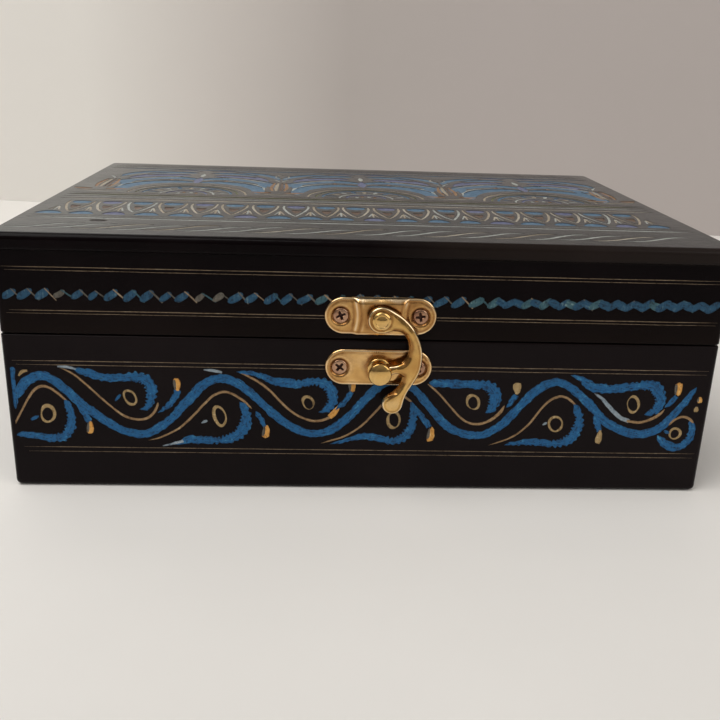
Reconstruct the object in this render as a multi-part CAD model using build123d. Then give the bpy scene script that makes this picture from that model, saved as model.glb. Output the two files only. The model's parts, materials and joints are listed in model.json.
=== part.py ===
# Lacquered wooden jewelry box with a hinged lid and a brass swing-hook latch.
# Millimetres. X runs along the box's length (to the right seen from the
# front), the front faces -Y, Z is up. The origin is the centre of the flat
# underside.
import os
from math import cos, sin, tan, radians, sqrt

from build123d import *

os.makedirs("parts", exist_ok=True)

# ---------------------------------------------------------------- dimensions
BOX_W = 190.0            # outside length of the wooden box (X)
BOX_D = 140.0            # outside depth of the wooden box (Y)
BOX_H = 70.0             # closed height
WALL = 8.0               # thickness of the wall boards
BOTTOM_T = 4.0           # thickness of the bottom panel
RABBET = 4.0             # how far the bottom panel is let into the boards
TOP_T = 4.5              # thickness of the lid's top board
TOP_OVER = 1.1           # how far the top board overhangs the walls
SEAM_Z = 43.5            # height of the parting line, and of the hinge axis
SEAM_GAP = 0.3           # gap between the two rims when closed

CORNER_R = 1.6           # upright corner rounding of the walls
BASE_R = 1.4             # rounding along the bottom edges
RIM_R = 0.5              # rounding of the two rims at the seam
TOP_CORNER_R = 2.6       # plan rounding of the top board's corners
TOP_EDGE_R = 1.7         # rounding of the top board's upper edge
TOP_UNDER_R = 1.1        # rounding of the top board's lower edge

PAD_T = 3.0              # velvet floor pad
LID_PAD_T = 2.0          # velvet pad under the lid's top
LINING_T = 1.2           # velvet-covered wall lining
BODY_LINING_DROP = 1.6   # lining stops this far below the body rim
LID_LINING_RISE = 1.6    # lining stops this far above the lid rim

HINGE_X = 55.0           # the two hinges sit at +-HINGE_X
HINGE_L = 25.0           # hinge length
HINGE_INSET = 1.5        # hinge axis is this far inside the back face
BARREL_R = 1.5           # knuckle radius
PIN_R = 0.6              # hinge pin radius
PIN_CLEAR = 0.05         # running clearance in the lid's knuckle
LEAF_T = 0.9             # leaf thickness
LEAF_W = 5.7             # leaf width from the hinge axis
KNUCKLE_HALF = 4.1       # half length of the middle knuckle
KNUCKLE_GAP = 0.1        # end play between knuckles
STOP_ANGLE = 52.5        # each rear rim is bevelled this much: lid stops at 105

LATCH_X = 3.2            # the latch sits slightly right of the middle
LID_PLATE_Z = 50.2       # height of the upper plate and the hook's pivot
BODY_PLATE_Z = 36.0      # height of the lower plate and the stud
LID_PLATE_L, LID_PLATE_H = 29.3, 10.0
BODY_PLATE_L, BODY_PLATE_H = 28.5, 10.0
PLATE_T = 0.8            # sheet thickness of both plates
BOSS_HALF = 5.6          # half width of the upper plate's raised middle
BOSS_RISE = 1.0          # how far that middle is raised
SCREW_PITCH = 20.8       # spacing of the two screws in each plate
PIVOT_R = 1.2            # shank of the pivot rivet
HOOK_CLEAR = 0.05        # running clearance of the hook on it
HOOK_BACK, HOOK_FRONT = 3.25, 4.75   # hook's faces, measured from the wood
STUD_NECK_R = 1.7
STUD_HEAD_R = 3.05
STUD_FRONT = 7.0         # the stud's face stands this far off the wood
LATCH_SCREW_R = 0.9
LATCH_SCREW_L = 6.2      # how deep the latch screws go into the wood

HW, HD = BOX_W / 2, BOX_D / 2
BODY_TOP = SEAM_Z - SEAM_GAP / 2
LID_LOW = SEAM_Z + SEAM_GAP / 2
TOP_LOW = BOX_H - TOP_T
AXIS_Y = HD - HINGE_INSET


# ------------------------------------------------------------------- helpers
def span(x0, x1, y0, y1, z0, z1):
    """Box given by its two corners."""
    return Pos((x0 + x1) / 2, (y0 + y1) / 2, (z0 + z1) / 2) * Box(
        x1 - x0, y1 - y0, z1 - z0)


def x_rod(x0, x1, r):
    """Cylinder about the hinge axis, from x0 to x1."""
    return Pos((x0 + x1) / 2, AXIS_Y, SEAM_Z) * (
        Rot(0, 90, 0) * Cylinder(r, x1 - x0))


def x_prism(points, x0, x1):
    """Prism along X whose section is given by (y, z) points."""
    face = make_face(Polyline(*points, close=True))
    face = Plane(origin=(x0, 0, 0), x_dir=(0, 1, 0), z_dir=(1, 0, 0)) * face
    return extrude(face, x1 - x0, dir=(1, 0, 0))


def turned(points):
    """Solid turned about Z from (r, z) points."""
    face = make_face(Polyline(*points, close=True))
    return revolve(Plane.XZ * face, Axis.Z, 360)


def front(z):
    """Plane on the box's front face: local x right, y up, z outwards."""
    return Plane(origin=(LATCH_X, -HD, z), x_dir=(1, 0, 0), z_dir=(0, -1, 0))


def mitred(ring, side, z0, z1):
    """One board of a mitred frame."""
    a = 35.0
    k = HW - HD
    corners = {
        "front": [(-HW - 5, -HD - 5), (HW + 5, -HD - 5), (k + a, -a), (-k - a, -a)],
        "back": [(-HW - 5, HD + 5), (HW + 5, HD + 5), (k + a, a), (-k - a, a)],
        "left": [(-HW - 5, -HD - 5), (-k - a, -a), (-k - a, a), (-HW - 5, HD + 5)],
        "right": [(HW + 5, -HD - 5), (k + a, -a), (k + a, a), (HW + 5, HD + 5)],
    }[side]
    wedge = extrude(Pos(0, 0, z0 - 1) * make_face(Polyline(*corners, close=True)),
                    z1 - z0 + 2, dir=(0, 0, 1))
    return ring & wedge


def solid_of(shape):
    """The single solid in a result."""
    s = shape.solids()
    assert len(s) == 1, len(s)
    return s[0]


def rounded_block(w, d, z0, z1, corner_r, low_r, high_r):
    b = span(-w / 2, w / 2, -d / 2, d / 2, z0, z1)
    b = fillet(b.edges().filter_by(Axis.Z), corner_r)
    if low_r:
        b = fillet(b.faces().sort_by(Axis.Z)[0].edges(), low_r)
    if high_r:
        b = fillet(b.faces().sort_by(Axis.Z)[-1].edges(), high_r)
    return b


nodes = {}

# ---------------------------------------------------------------- screw shapes
def screw_profile(head_r, top, lip, cone_low, shank_r, tip, grow=0.0):
    """(r, z) outline of a countersunk wood screw; z = 0 is the wood's face."""
    return [(0, tip - grow), (0.25 + grow, tip - grow),
            (shank_r + grow, tip + 2.2 * shank_r), (shank_r + grow, cone_low),
            (head_r + grow, top - lip), (head_r + grow, top), (0, top)]


def cross_recess(size, width, depth, top, turn):
    arm = Box(size, width, depth * 2) + Box(width, size, depth * 2)
    core = Pos(0, 0, 0) * Cone(0.05, size * 0.27, depth * 2.4)
    return Pos(0, 0, top) * (Rot(0, 0, turn) * (arm + core))


LS_TOP = 0.68            # latch screw head, just under the plate's face
latch_screw = turned(screw_profile(2.05, LS_TOP, 0.15, -0.45, LATCH_SCREW_R,
                                   -LATCH_SCREW_L))
latch_screw_room = turned(
    [(0, -LATCH_SCREW_L - 0.3), (LATCH_SCREW_R + 0.03, -LATCH_SCREW_L - 0.3),
     (LATCH_SCREW_R + 0.03, -0.46), (2.11, 0.53), (2.11, 0.6), (2.45, 0.82),
     (2.45, 3.0), (0, 3.0)])

HS_TOP = LEAF_T - 0.06   # hinge screw head, z = 0 is the underside of the leaf
hinge_screw = turned(screw_profile(1.25, HS_TOP, 0.08, 0.1, 0.6, -5.4))
hinge_screw_room = turned(
    [(0, -5.6), (0.63, -5.6), (0.63, 0.08), (1.30, HS_TOP - 0.09),
     (1.30, 1.5), (0, 1.5)])

# --------------------------------------------------------------- latch pieces
screw_at = (-SCREW_PITCH / 2, SCREW_PITCH / 2)
lid_plane = front(LID_PLATE_Z)
body_plane = front(BODY_PLATE_Z)


def joggle_strip():
    """Upper plate's strip: low tabs at both ends, raised middle."""
    h, t, r = BOSS_RISE, PLATE_T, 0.45
    run = 0.9
    outer = [(-20, t), (-BOSS_HALF - run, t), (-BOSS_HALF, t + h),
             (BOSS_HALF, t + h), (BOSS_HALF + run, t), (20, t)]
    inner = [(20, 0), (BOSS_HALF + run - 0.1, 0), (BOSS_HALF - 0.45, h),
             (-BOSS_HALF + 0.45, h), (-BOSS_HALF - run + 0.1, 0), (-20, 0)]
    face = make_face(Polyline(*(outer + inner), close=True))
    verts = [v for v in face.vertices() if abs(v.X) < 15]
    face = fillet(verts, r)
    # section lies in (x, outward); the strip runs along local y
    strip = extrude(Plane.XZ * face, 12, both=True)
    return strip


lid_plate = joggle_strip() & extrude(SlotOverall(LID_PLATE_L, LID_PLATE_H), 4)
lid_plate = solid_of(lid_plate)


def soften(solid, radius, pick):
    """Round the picked edges, with smaller radii if the shape needs it."""
    for r in (radius, radius * 0.8, radius * 0.6, radius * 0.4):
        try:
            out = fillet(pick(solid), r)
            if out.is_valid and len(out.solids()) == 1:
                return out.solids()[0]
        except Exception:
            pass
    print("left sharp", radius)
    return solid


def front_rim(solid):
    """Edges of the outline on the outward side of a plate."""
    out = []
    for e in solid.edges():
        c = e.position_at(0.5)
        if c.Z < PLATE_T - 0.02:
            continue
        x = abs(c.X)
        half = LID_PLATE_L / 2 - LID_PLATE_H / 2
        reach = (abs(c.Y) if x <= half else
                 sqrt((x - half) ** 2 + c.Y ** 2))
        if abs(reach - LID_PLATE_H / 2) < 0.02:
            out.append(e)
    return out


lid_plate = soften(lid_plate, 0.3, front_rim)
for sx in screw_at:
    lid_plate = lid_plate - Pos(sx, 0, 0) * latch_screw_room
lid_plate = lid_plate - Cylinder(PIVOT_R, 10)
nodes["latch_lid_plate"] = lid_plane * solid_of(lid_plate)

body_plate = extrude(SlotOverall(BODY_PLATE_L, BODY_PLATE_H), PLATE_T)
body_plate = fillet(body_plate.faces().sort_by(Axis.Z)[-1].edges(), 0.3)
STUD_TAIL_R = 1.4
for sx in screw_at:
    body_plate = body_plate - Pos(sx, 0, 0) * latch_screw_room
body_plate = body_plate - Cylinder(STUD_TAIL_R, 10)
nodes["latch_body_plate"] = body_plane * solid_of(body_plate)

# stud: a turned spool riveted into the lower plate
hr, nr, fz = STUD_HEAD_R, STUD_NECK_R, STUD_FRONT


def turned_soft(points, radii):
    """Turned solid whose section corners are rounded: {corner number: r}."""
    face = make_face(Polyline(*points, close=True))
    for number, r in radii.items():
        px, pz = points[number]
        v = [w for w in face.vertices()
             if abs(w.X - px) < 1e-4 and abs(w.Y - pz) < 1e-4]
        face = fillet(v, r)
    return revolve(Plane.XZ * face, Axis.Z, 360)


def spool():
    z0 = PLATE_T
    pts = [(0, 0), (STUD_TAIL_R, 0), (STUD_TAIL_R, z0), (3.1, z0), (3.1, 2.2),
           (nr, 2.45), (nr, 5.3), (hr, 5.5), (hr, fz), (0, fz)]
    return turned_soft(pts, {4: 0.4, 5: 0.5, 6: 0.35, 7: 0.3, 8: 0.75})


nodes["latch_stud"] = body_plane * solid_of(spool())


def pivot_rivet():
    """Shoulder rivet: tail behind the plate, collar, shank, domed head."""
    back = BOSS_RISE
    plate_front = BOSS_RISE + PLATE_T
    collar_front = HOOK_BACK - 0.05
    head_low = HOOK_FRONT + 0.05
    top = head_low + 1.15
    pts = [(0, back - 0.7), (2.0, back - 0.7), (2.0, back), (PIVOT_R, back),
           (PIVOT_R, plate_front), (2.5, plate_front), (2.5, collar_front),
           (PIVOT_R, collar_front), (PIVOT_R, head_low), (2.15, head_low),
           (2.15, top), (0, top)]
    return turned_soft(pts, {1: 0.4, 10: 0.6})


nodes["latch_pivot_rivet"] = lid_plane * solid_of(pivot_rivet())

# hook: flat C-shaped arm in local (x, y), pivot at the origin, stud at (0, -DROP)
DROP = LID_PLATE_Z - BODY_PLATE_Z
NOTCH_R = STUD_NECK_R + 0.3


def hook_outline():
    def on(c, r, deg):
        return (c[0] + r * cos(radians(deg)), c[1] + r * sin(radians(deg)))

    def clockwise(deg):
        return (sin(radians(deg)), -cos(radians(deg)))

    disc_c, disc_r = (0.0, 0.0), 3.6
    tab_c, tab_r = (3.7, -23.2), 2.85
    tip_c, tip_r = (-0.5, -17.08), 0.87
    neck_c = (0.0, -DROP)
    disc = ThreePointArc(on(disc_c, disc_r, -62), on(disc_c, disc_r, 180),
                         on(disc_c, disc_r, 80))
    outer = Spline(on(disc_c, disc_r, 80), (3.1, 2.55), (5.4, 1.05), (7.35, -0.7),
                   (9.0, -2.85), (10.15, -5.2), (10.95, -8.0), (11.05, -11.2),
                   (10.65, -13.8), (9.8, -15.9), (8.7, -17.9), (7.55, -20.0),
                   (6.85, -22.0), on(tab_c, tab_r, -12),
                   tangents=(clockwise(80), clockwise(-12)))
    tab = ThreePointArc(on(tab_c, tab_r, -12), on(tab_c, tab_r, -110),
                        on(tab_c, tab_r, 138))
    inner_tail = Spline(on(tab_c, tab_r, 138), (2.75, -20.3), (4.15, -19.35),
                        (5.15, -18.05), (5.85, -16.7), (6.0, -15.4),
                        (5.35, -14.6), (4.2, -14.62), (3.3, -14.95),
                        (2.85, -16.0), (2.1, -17.1), (0.9, -17.8),
                        on(tip_c, tip_r, -90),
                        tangents=(clockwise(138), (-1.0, 0.0)))
    tip = ThreePointArc(on(tip_c, tip_r, -90), on(tip_c, tip_r, 180),
                        on(tip_c, tip_r, 90))
    lip = Line(on(tip_c, tip_r, 90), on(neck_c, NOTCH_R, -90))
    notch = ThreePointArc(on(neck_c, NOTCH_R, -90), on(neck_c, NOTCH_R, -30),
                          on(neck_c, NOTCH_R, 38))
    window = Spline(on(neck_c, NOTCH_R, 38), (2.2, -12.55), (3.3, -12.4),
                    (4.7, -12.15), (6.15, -11.25), (7.1, -9.75), (7.5, -7.7),
                    (7.25, -5.95), (6.4, -4.25), (5.15, -3.25), (3.6, -3.1),
                    on(disc_c, disc_r, -62),
                    tangents=((0.35, 0.94), clockwise(-62)))
    return [disc, outer, tab, inner_tail, tip, lip, notch, window]


hook_face = make_face(hook_outline())
hook = Pos(0, 0, HOOK_BACK) * extrude(hook_face, HOOK_FRONT - HOOK_BACK)
hook = solid_of(hook)


hook = hook - Pos(0, 0, 4) * Cylinder(PIVOT_R + HOOK_CLEAR, 6)
nodes["latch_hook"] = lid_plane * solid_of(hook)


def screw_group(plane, turns):
    out = []
    for sx, turn in zip(screw_at, turns):
        s = latch_screw - cross_recess(2.5, 0.55, 0.5, LS_TOP, turn)
        out.append(solid_of(plane * (Pos(sx, 0, 0) * s)))
    return out


nodes["latch_lid_screws"] = Compound(children=screw_group(lid_plane, (22, 8)))
nodes["latch_body_screws"] = Compound(children=screw_group(body_plane, (52, 35)))

latch_rooms_lid = [lid_plane * (Pos(sx, 0, 0) * latch_screw_room) for sx in screw_at]
latch_rooms_body = [body_plane * (Pos(sx, 0, 0) * latch_screw_room) for sx in screw_at]

# --------------------------------------------------------------------- hinges
hinge_cuts_body, hinge_cuts_lid = [], []
body_screws, lid_screws = [], []
leaf_y0 = AXIS_Y - LEAF_W
screw_y = leaf_y0 + 2.45
K = KNUCKLE_HALF
relief_r = BARREL_R + 0.25

for side, hx in (("left", -HINGE_X), ("right", HINGE_X)):
    x0, x1 = hx - HINGE_L / 2, hx + HINGE_L / 2
    m0, m1 = hx - K, hx + K
    g = KNUCKLE_GAP

    body_leaf = span(x0, x1, leaf_y0, AXIS_Y, BODY_TOP - LEAF_T, BODY_TOP)
    body_leaf -= x_rod(m0 - g, m1 + g, relief_r)
    body_leaf += x_rod(x0, m0 - g, BARREL_R)
    body_leaf += x_rod(m1 + g, x1, BARREL_R)
    body_leaf -= x_rod(x0 - 1, x1 + 1, PIN_R)

    lid_leaf = span(x0, x1, leaf_y0, AXIS_Y, LID_LOW, LID_LOW + LEAF_T)
    lid_leaf -= x_rod(x0 - 1, m0, relief_r)
    lid_leaf -= x_rod(m1, x1 + 1, relief_r)
    lid_leaf += x_rod(m0, m1, BARREL_R)
    lid_leaf -= x_rod(x0 - 1, x1 + 1, PIN_R + PIN_CLEAR)

    pin = x_rod(x0, x1, PIN_R)
    pin = chamfer(pin.edges(), 0.15)

    for k, dx in enumerate((-8.4, 8.4)):
        low = Pos(hx + dx, screw_y, BODY_TOP - LEAF_T)
        high = Pos(hx + dx, screw_y, LID_LOW + LEAF_T) * Rot(180, 0, 0)
        turn = 17 + 31 * k + (40 if side == "right" else 0)
        slot = cross_recess(1.5, 0.34, 0.36, HS_TOP, turn)
        body_leaf -= low * hinge_screw_room
        lid_leaf -= high * hinge_screw_room
        body_screws.append(solid_of(low * (hinge_screw - slot)))
        lid_screws.append(solid_of(high * (hinge_screw - slot)))
        hinge_cuts_body.append(low * hinge_screw_room)
        hinge_cuts_lid.append(high * hinge_screw_room)

    nodes[f"hinge_{side}_body_leaf"] = solid_of(body_leaf)
    nodes[f"hinge_{side}_lid_leaf"] = solid_of(lid_leaf)
    nodes[f"hinge_{side}_pin"] = solid_of(pin)

    barrel_room = x_rod(x0 - 0.3, x1 + 0.3, BARREL_R + 0.3)
    hinge_cuts_body += [barrel_room,
                        span(x0 - 0.1, x1 + 0.1, leaf_y0 - 0.1, AXIS_Y,
                             BODY_TOP - LEAF_T, BODY_TOP + 1)]
    hinge_cuts_lid += [barrel_room,
                       span(x0 - 0.1, x1 + 0.1, leaf_y0 - 0.1, AXIS_Y,
                            LID_LOW - 1, LID_LOW + LEAF_T)]

nodes["hinge_body_screws"] = Compound(children=body_screws)
nodes["hinge_lid_screws"] = Compound(children=lid_screws)

# ----------------------------------------------------------- wooden body part
tb = tan(radians(STOP_ANGLE))
body_bevel = x_prism([(AXIS_Y, BODY_TOP), (AXIS_Y, BODY_TOP + 2),
                      (AXIS_Y + 6, BODY_TOP + 2), (AXIS_Y + 6, BODY_TOP - 6 * tb)],
                     -HW - 2, HW + 2)
lid_bevel = x_prism([(AXIS_Y, LID_LOW), (AXIS_Y, LID_LOW - 2),
                     (AXIS_Y + 6, LID_LOW - 2), (AXIS_Y + 6, LID_LOW + 6 * tb)],
                    -HW - 2, HW + 2)

body_ring = rounded_block(BOX_W, BOX_D, 0, BODY_TOP, CORNER_R, BASE_R, RIM_R)
body_ring -= span(-HW + WALL, HW - WALL, -HD + WALL, HD - WALL, -1, BODY_TOP + 1)
ledge = WALL - RABBET
body_ring -= span(-HW + ledge, HW - ledge, -HD + ledge, HD - ledge, -1, BOTTOM_T)
body_ring -= body_bevel

for side in ("front", "back", "left", "right"):
    board = mitred(body_ring, side, 0, BODY_TOP)
    if side == "front":
        for c in latch_rooms_body:
            board -= c
    if side == "back":
        for c in hinge_cuts_body:
            board -= c
    nodes[f"body_{side}_board"] = solid_of(board)

nodes["body_bottom_panel"] = solid_of(span(-HW + ledge, HW - ledge,
                                           -HD + ledge, HD - ledge, 0, BOTTOM_T))

# ------------------------------------------------------------------ wooden lid
lid_ring = rounded_block(BOX_W, BOX_D, LID_LOW, TOP_LOW, CORNER_R, RIM_R, 0)
lid_ring -= span(-HW + WALL, HW - WALL, -HD + WALL, HD - WALL,
                 LID_LOW - 1, TOP_LOW + 1)
lid_ring -= lid_bevel

for side in ("front", "back", "left", "right"):
    board = mitred(lid_ring, side, LID_LOW, TOP_LOW)
    if side == "front":
        for c in latch_rooms_lid:
            board -= c
    if side == "back":
        for c in hinge_cuts_lid:
            board -= c
    nodes[f"lid_{side}_board"] = solid_of(board)

nodes["lid_top_panel"] = solid_of(rounded_block(
    BOX_W + 2 * TOP_OVER, BOX_D + 2 * TOP_OVER, TOP_LOW, BOX_H,
    TOP_CORNER_R, TOP_UNDER_R, TOP_EDGE_R))

# --------------------------------------------------------------- velvet lining
IX, IY = HW - WALL, HD - WALL
LX, LY = IX - LINING_T, IY - LINING_T


def linings(name, z0, z1):
    nodes[f"{name}_lining_front"] = solid_of(span(-IX, IX, -IY, -LY, z0, z1))
    nodes[f"{name}_lining_back"] = solid_of(span(-IX, IX, LY, IY, z0, z1))
    nodes[f"{name}_lining_left"] = solid_of(span(-IX, -LX, -LY, LY, z0, z1))
    nodes[f"{name}_lining_right"] = solid_of(span(LX, IX, -LY, LY, z0, z1))


linings("body", BOTTOM_T, BODY_TOP - BODY_LINING_DROP)
linings("lid", LID_LOW + LID_LINING_RISE, TOP_LOW)
nodes["body_floor_pad"] = solid_of(span(-LX, LX, -LY, LY, BOTTOM_T, BOTTOM_T + PAD_T))
nodes["lid_lining_pad"] = solid_of(span(-LX, LX, -LY, LY, TOP_LOW - LID_PAD_T, TOP_LOW))

# ----------------------------------------------------------------------- write
for name, shape in nodes.items():
    export_step(shape, f"parts/{name}.step")
print(len(nodes), "nodes")
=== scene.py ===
import json
import math
import random

import bmesh
import bpy
import numpy as np
from mathutils import Matrix, Vector
from mathutils.geometry import delaunay_2d_cdt


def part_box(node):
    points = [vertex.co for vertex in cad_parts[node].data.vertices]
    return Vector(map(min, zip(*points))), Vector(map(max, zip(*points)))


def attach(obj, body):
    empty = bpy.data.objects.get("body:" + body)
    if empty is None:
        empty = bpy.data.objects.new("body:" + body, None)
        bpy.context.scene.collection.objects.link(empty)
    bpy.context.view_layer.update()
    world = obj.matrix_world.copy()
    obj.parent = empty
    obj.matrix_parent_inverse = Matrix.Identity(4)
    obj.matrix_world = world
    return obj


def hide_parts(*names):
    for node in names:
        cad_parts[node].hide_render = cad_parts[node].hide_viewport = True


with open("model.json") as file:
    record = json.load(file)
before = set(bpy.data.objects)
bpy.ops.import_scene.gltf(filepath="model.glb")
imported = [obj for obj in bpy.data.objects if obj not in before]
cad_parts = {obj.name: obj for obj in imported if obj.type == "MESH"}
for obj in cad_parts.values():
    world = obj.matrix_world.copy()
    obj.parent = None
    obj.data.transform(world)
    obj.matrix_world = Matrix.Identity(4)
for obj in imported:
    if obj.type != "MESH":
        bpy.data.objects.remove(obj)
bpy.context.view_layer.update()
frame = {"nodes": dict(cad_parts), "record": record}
NODES = frame["nodes"]
BODY_OF = {n: b for b, ns in frame["record"]["behaviour"]["bodies"].items() for n in ns}
MM = 0.001

# ------------------------------------------------------------------- camera
FOCAL_PX = 871.58
PITCH, ROLL, YAW = -0.33955, -0.034744, -0.054396
EYE = Vector((-13.64, -287.34, 114.78)) * MM


def set_camera():
    turn = (Matrix.Rotation(YAW, 3, "Z") @ Matrix.Rotation(PITCH, 3, "X")
            @ Matrix.Rotation(ROLL, 3, "Y"))
    right, ahead, up = (turn @ Vector(a) for a in ((1, 0, 0), (0, 1, 0), (0, 0, 1)))
    data = bpy.data.cameras.new("camera")
    cam = bpy.data.objects.new("camera", data)
    bpy.context.scene.collection.objects.link(cam)
    back = -ahead
    cam.matrix_world = Matrix(((right.x, up.x, back.x, EYE.x),
                               (right.y, up.y, back.y, EYE.y),
                               (right.z, up.z, back.z, EYE.z),
                               (0, 0, 0, 1)))
    data.sensor_width = 36.0
    data.lens = 36.0 * FOCAL_PX / 720.0
    data.clip_start, data.clip_end = 0.01, 50.0
    bpy.context.scene.camera = cam


set_camera()


# ---------------------------------------------------------------- materials
class Nodes:
    """Short hand for building one node material."""

    def __init__(self, name):
        self.m = bpy.data.materials.new(name)
        self.m.use_nodes = True
        self.t = self.m.node_tree
        self.bsdf = next(n for n in self.t.nodes if n.type == "BSDF_PRINCIPLED")
        self.co = self.t.nodes.new("ShaderNodeTexCoord").outputs["Object"]

    def link(self, a, b):
        self.t.links.new(a, b)

    def node(self, kind, **values):
        n = self.t.nodes.new(kind)
        for k, v in values.items():
            if hasattr(n, k) and k not in n.inputs:
                setattr(n, k, v)
            else:
                n.inputs[k].default_value = v
        return n

    def stretch(self, scale, source=None, rotation=(0, 0, 0)):
        n = self.node("ShaderNodeMapping")
        n.inputs["Scale"].default_value = scale
        n.inputs["Rotation"].default_value = rotation
        self.link(source or self.co, n.inputs["Vector"])
        return n.outputs["Vector"]

    def noise(self, scale, detail=3.0, rough=0.55, vector=None, distortion=0.0):
        n = self.node("ShaderNodeTexNoise")
        n.inputs["Scale"].default_value = scale
        n.inputs["Detail"].default_value = detail
        n.inputs["Roughness"].default_value = rough
        n.inputs["Distortion"].default_value = distortion
        self.link(vector or self.co, n.inputs["Vector"])
        return n.outputs["Fac"]

    def voronoi(self, scale, vector=None, feature="F1", out="Distance", randomness=1.0):
        n = self.node("ShaderNodeTexVoronoi")
        n.feature = feature
        n.inputs["Scale"].default_value = scale
        n.inputs["Randomness"].default_value = randomness
        self.link(vector or self.co, n.inputs["Vector"])
        return n.outputs[out]

    def ramp(self, fac, stops, interpolation="LINEAR"):
        n = self.node("ShaderNodeValToRGB")
        n.color_ramp.interpolation = interpolation
        els = n.color_ramp.elements
        while len(els) > 1:
            els.remove(els[-1])
        els[0].position, els[0].color = stops[0][0], tuple(stops[0][1]) + (1.0,)
        for p, c in stops[1:]:
            e = els.new(p)
            e.color = tuple(c) + (1.0,)
        self.link(fac, n.inputs["Fac"])
        return n.outputs["Color"]

    def grey(self, fac, a, b, lo=0.0, hi=1.0):
        """Maps fac from lo..hi to a..b."""
        n = self.node("ShaderNodeMapRange")
        n.inputs["From Min"].default_value = lo
        n.inputs["From Max"].default_value = hi
        n.inputs["To Min"].default_value = a
        n.inputs["To Max"].default_value = b
        self.link(fac, n.inputs["Value"])
        return n.outputs["Result"]

    def math(self, op, a, b=None, clamp=False):
        n = self.node("ShaderNodeMath")
        n.operation = op
        n.use_clamp = clamp
        for k, v in enumerate((a, b)):
            if v is None:
                continue
            if isinstance(v, (int, float)):
                n.inputs[k].default_value = v
            else:
                self.link(v, n.inputs[k])
        return n.outputs[0]

    def mix(self, fac, a, b, blend="MIX"):
        n = self.node("ShaderNodeMix")
        n.data_type = "RGBA"
        n.blend_type = blend
        n.clamp_result = True
        if isinstance(fac, (int, float)):
            n.inputs[0].default_value = fac
        else:
            self.link(fac, n.inputs[0])
        for k, v in ((6, a), (7, b)):
            if isinstance(v, tuple):
                n.inputs[k].default_value = tuple(v) + ((1.0,) if len(v) == 3 else ())
            else:
                self.link(v, n.inputs[k])
        return n.outputs[2]

    def attribute(self, name, out="Vector"):
        n = self.node("ShaderNodeAttribute")
        n.attribute_name = name
        return n.outputs[out]

    def bump(self, height, strength, distance, normal=None):
        n = self.node("ShaderNodeBump")
        n.inputs["Strength"].default_value = strength
        n.inputs["Distance"].default_value = distance
        self.link(height, n.inputs["Height"])
        if normal:
            self.link(normal, n.inputs["Normal"])
        return n.outputs["Normal"]

    def set(self, name, value):
        s = self.bsdf.inputs[name]
        if isinstance(value, (int, float)):
            s.default_value = value
        elif isinstance(value, tuple):
            s.default_value = tuple(value) + ((1.0,) if len(value) == 3 and s.type == "RGBA" else ())
        else:
            self.link(value, s)


def srgb(r, g, b):
    """Linear colour from 0-255 screen values."""
    return tuple(((c / 255) / 12.92 if c / 255 <= 0.04045 else ((c / 255 + 0.055) / 1.055) ** 2.4)
                 for c in (r, g, b))


def lacquer(name="lacquer_black", gloss=0.06,
            tone=((0.0018, 0.0009, 0.0012), (0.0030, 0.0016, 0.0020), (0.0054, 0.0032, 0.0036)), with_painted_light=True):
    """Black lacquer rubbed to a soft gloss: faint brown cast, orange peel,
    fine handling scratches and a little dust in patches."""
    n = Nodes(name)
    cloud = n.noise(28.0, 3.0, 0.6)
    base = n.ramp(cloud, [(0.30, tone[0]), (0.55, tone[1]), (0.78, tone[2])])
    if with_painted_light:
        # painted light: the walls are lightened, most on the body, fading to plain black up the lid's walls
        up = n.node("ShaderNodeSeparateXYZ")
        n.link(n.co, up.inputs["Vector"])
        grey = n.ramp(n.grey(up.outputs["Z"], 0.0, 1.0, 0.0, 0.07),
                      [(0.0, (0.0068, 0.0054, 0.0055)), (0.612, (0.0060, 0.0046, 0.0047)),
                       (0.630, (0.0038, 0.0022, 0.0011)), (0.80, (0.0002, 0.0, 0.0))])
        base = n.mix(1.0, base, n.mix(1.0, grey, n.ramp(n.noise(16.0, 3.0), [(0.3, (0.7, 0.7, 0.7)), (0.7, (1, 1, 1))]),
                                      "MULTIPLY"), "ADD")
        # painted reflection: the top board's edge is lightened in a brown tone towards its right end
        side = n.ramp(n.grey(up.outputs["X"], 0.0, 1.0, 0.0, 0.09),
                      [(0.0, (0.0, 0.0, 0.0)), (0.25, (0.0105, 0.0078, 0.0060)), (1.0, (0.0150, 0.0118, 0.0098))])
        edge = n.ramp(n.grey(up.outputs["Z"], 0.0, 1.0, 0.0650, 0.0664), [(0.0, (0, 0, 0)), (1.0, (1, 1, 1))])
        base = n.mix(1.0, base, n.mix(1.0, side, edge, "MULTIPLY"), "ADD")
    speck = n.ramp(n.voronoi(1300.0), [(0.0, (0.075, 0.066, 0.058)), (0.05, (0.0, 0.0, 0.0))])
    patch = n.ramp(n.noise(60.0, 2.0), [(0.50, (0, 0, 0)), (0.72, (1, 1, 1))])
    dust = n.mix(patch, (0.0, 0.0, 0.0), speck)
    n.set("Base Color", n.mix(1.0, base, dust, "ADD"))
    scratch = n.noise(160.0, 2.0, 0.65, n.stretch((1.0, 9.0, 9.0), rotation=(0.0, 0.12, 0.2)))
    rough = n.math("ADD", n.grey(cloud, 0.13, 0.22, 0.3, 0.7),
                   n.grey(scratch, -0.02, 0.07, 0.35, 0.75))
    n.set("Roughness", rough)
    n.set("Specular IOR Level", gloss)
    n.set("Normal", n.bump(n.noise(420.0, 2.0, 0.5), 0.12, 0.0006))
    return n.m


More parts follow.
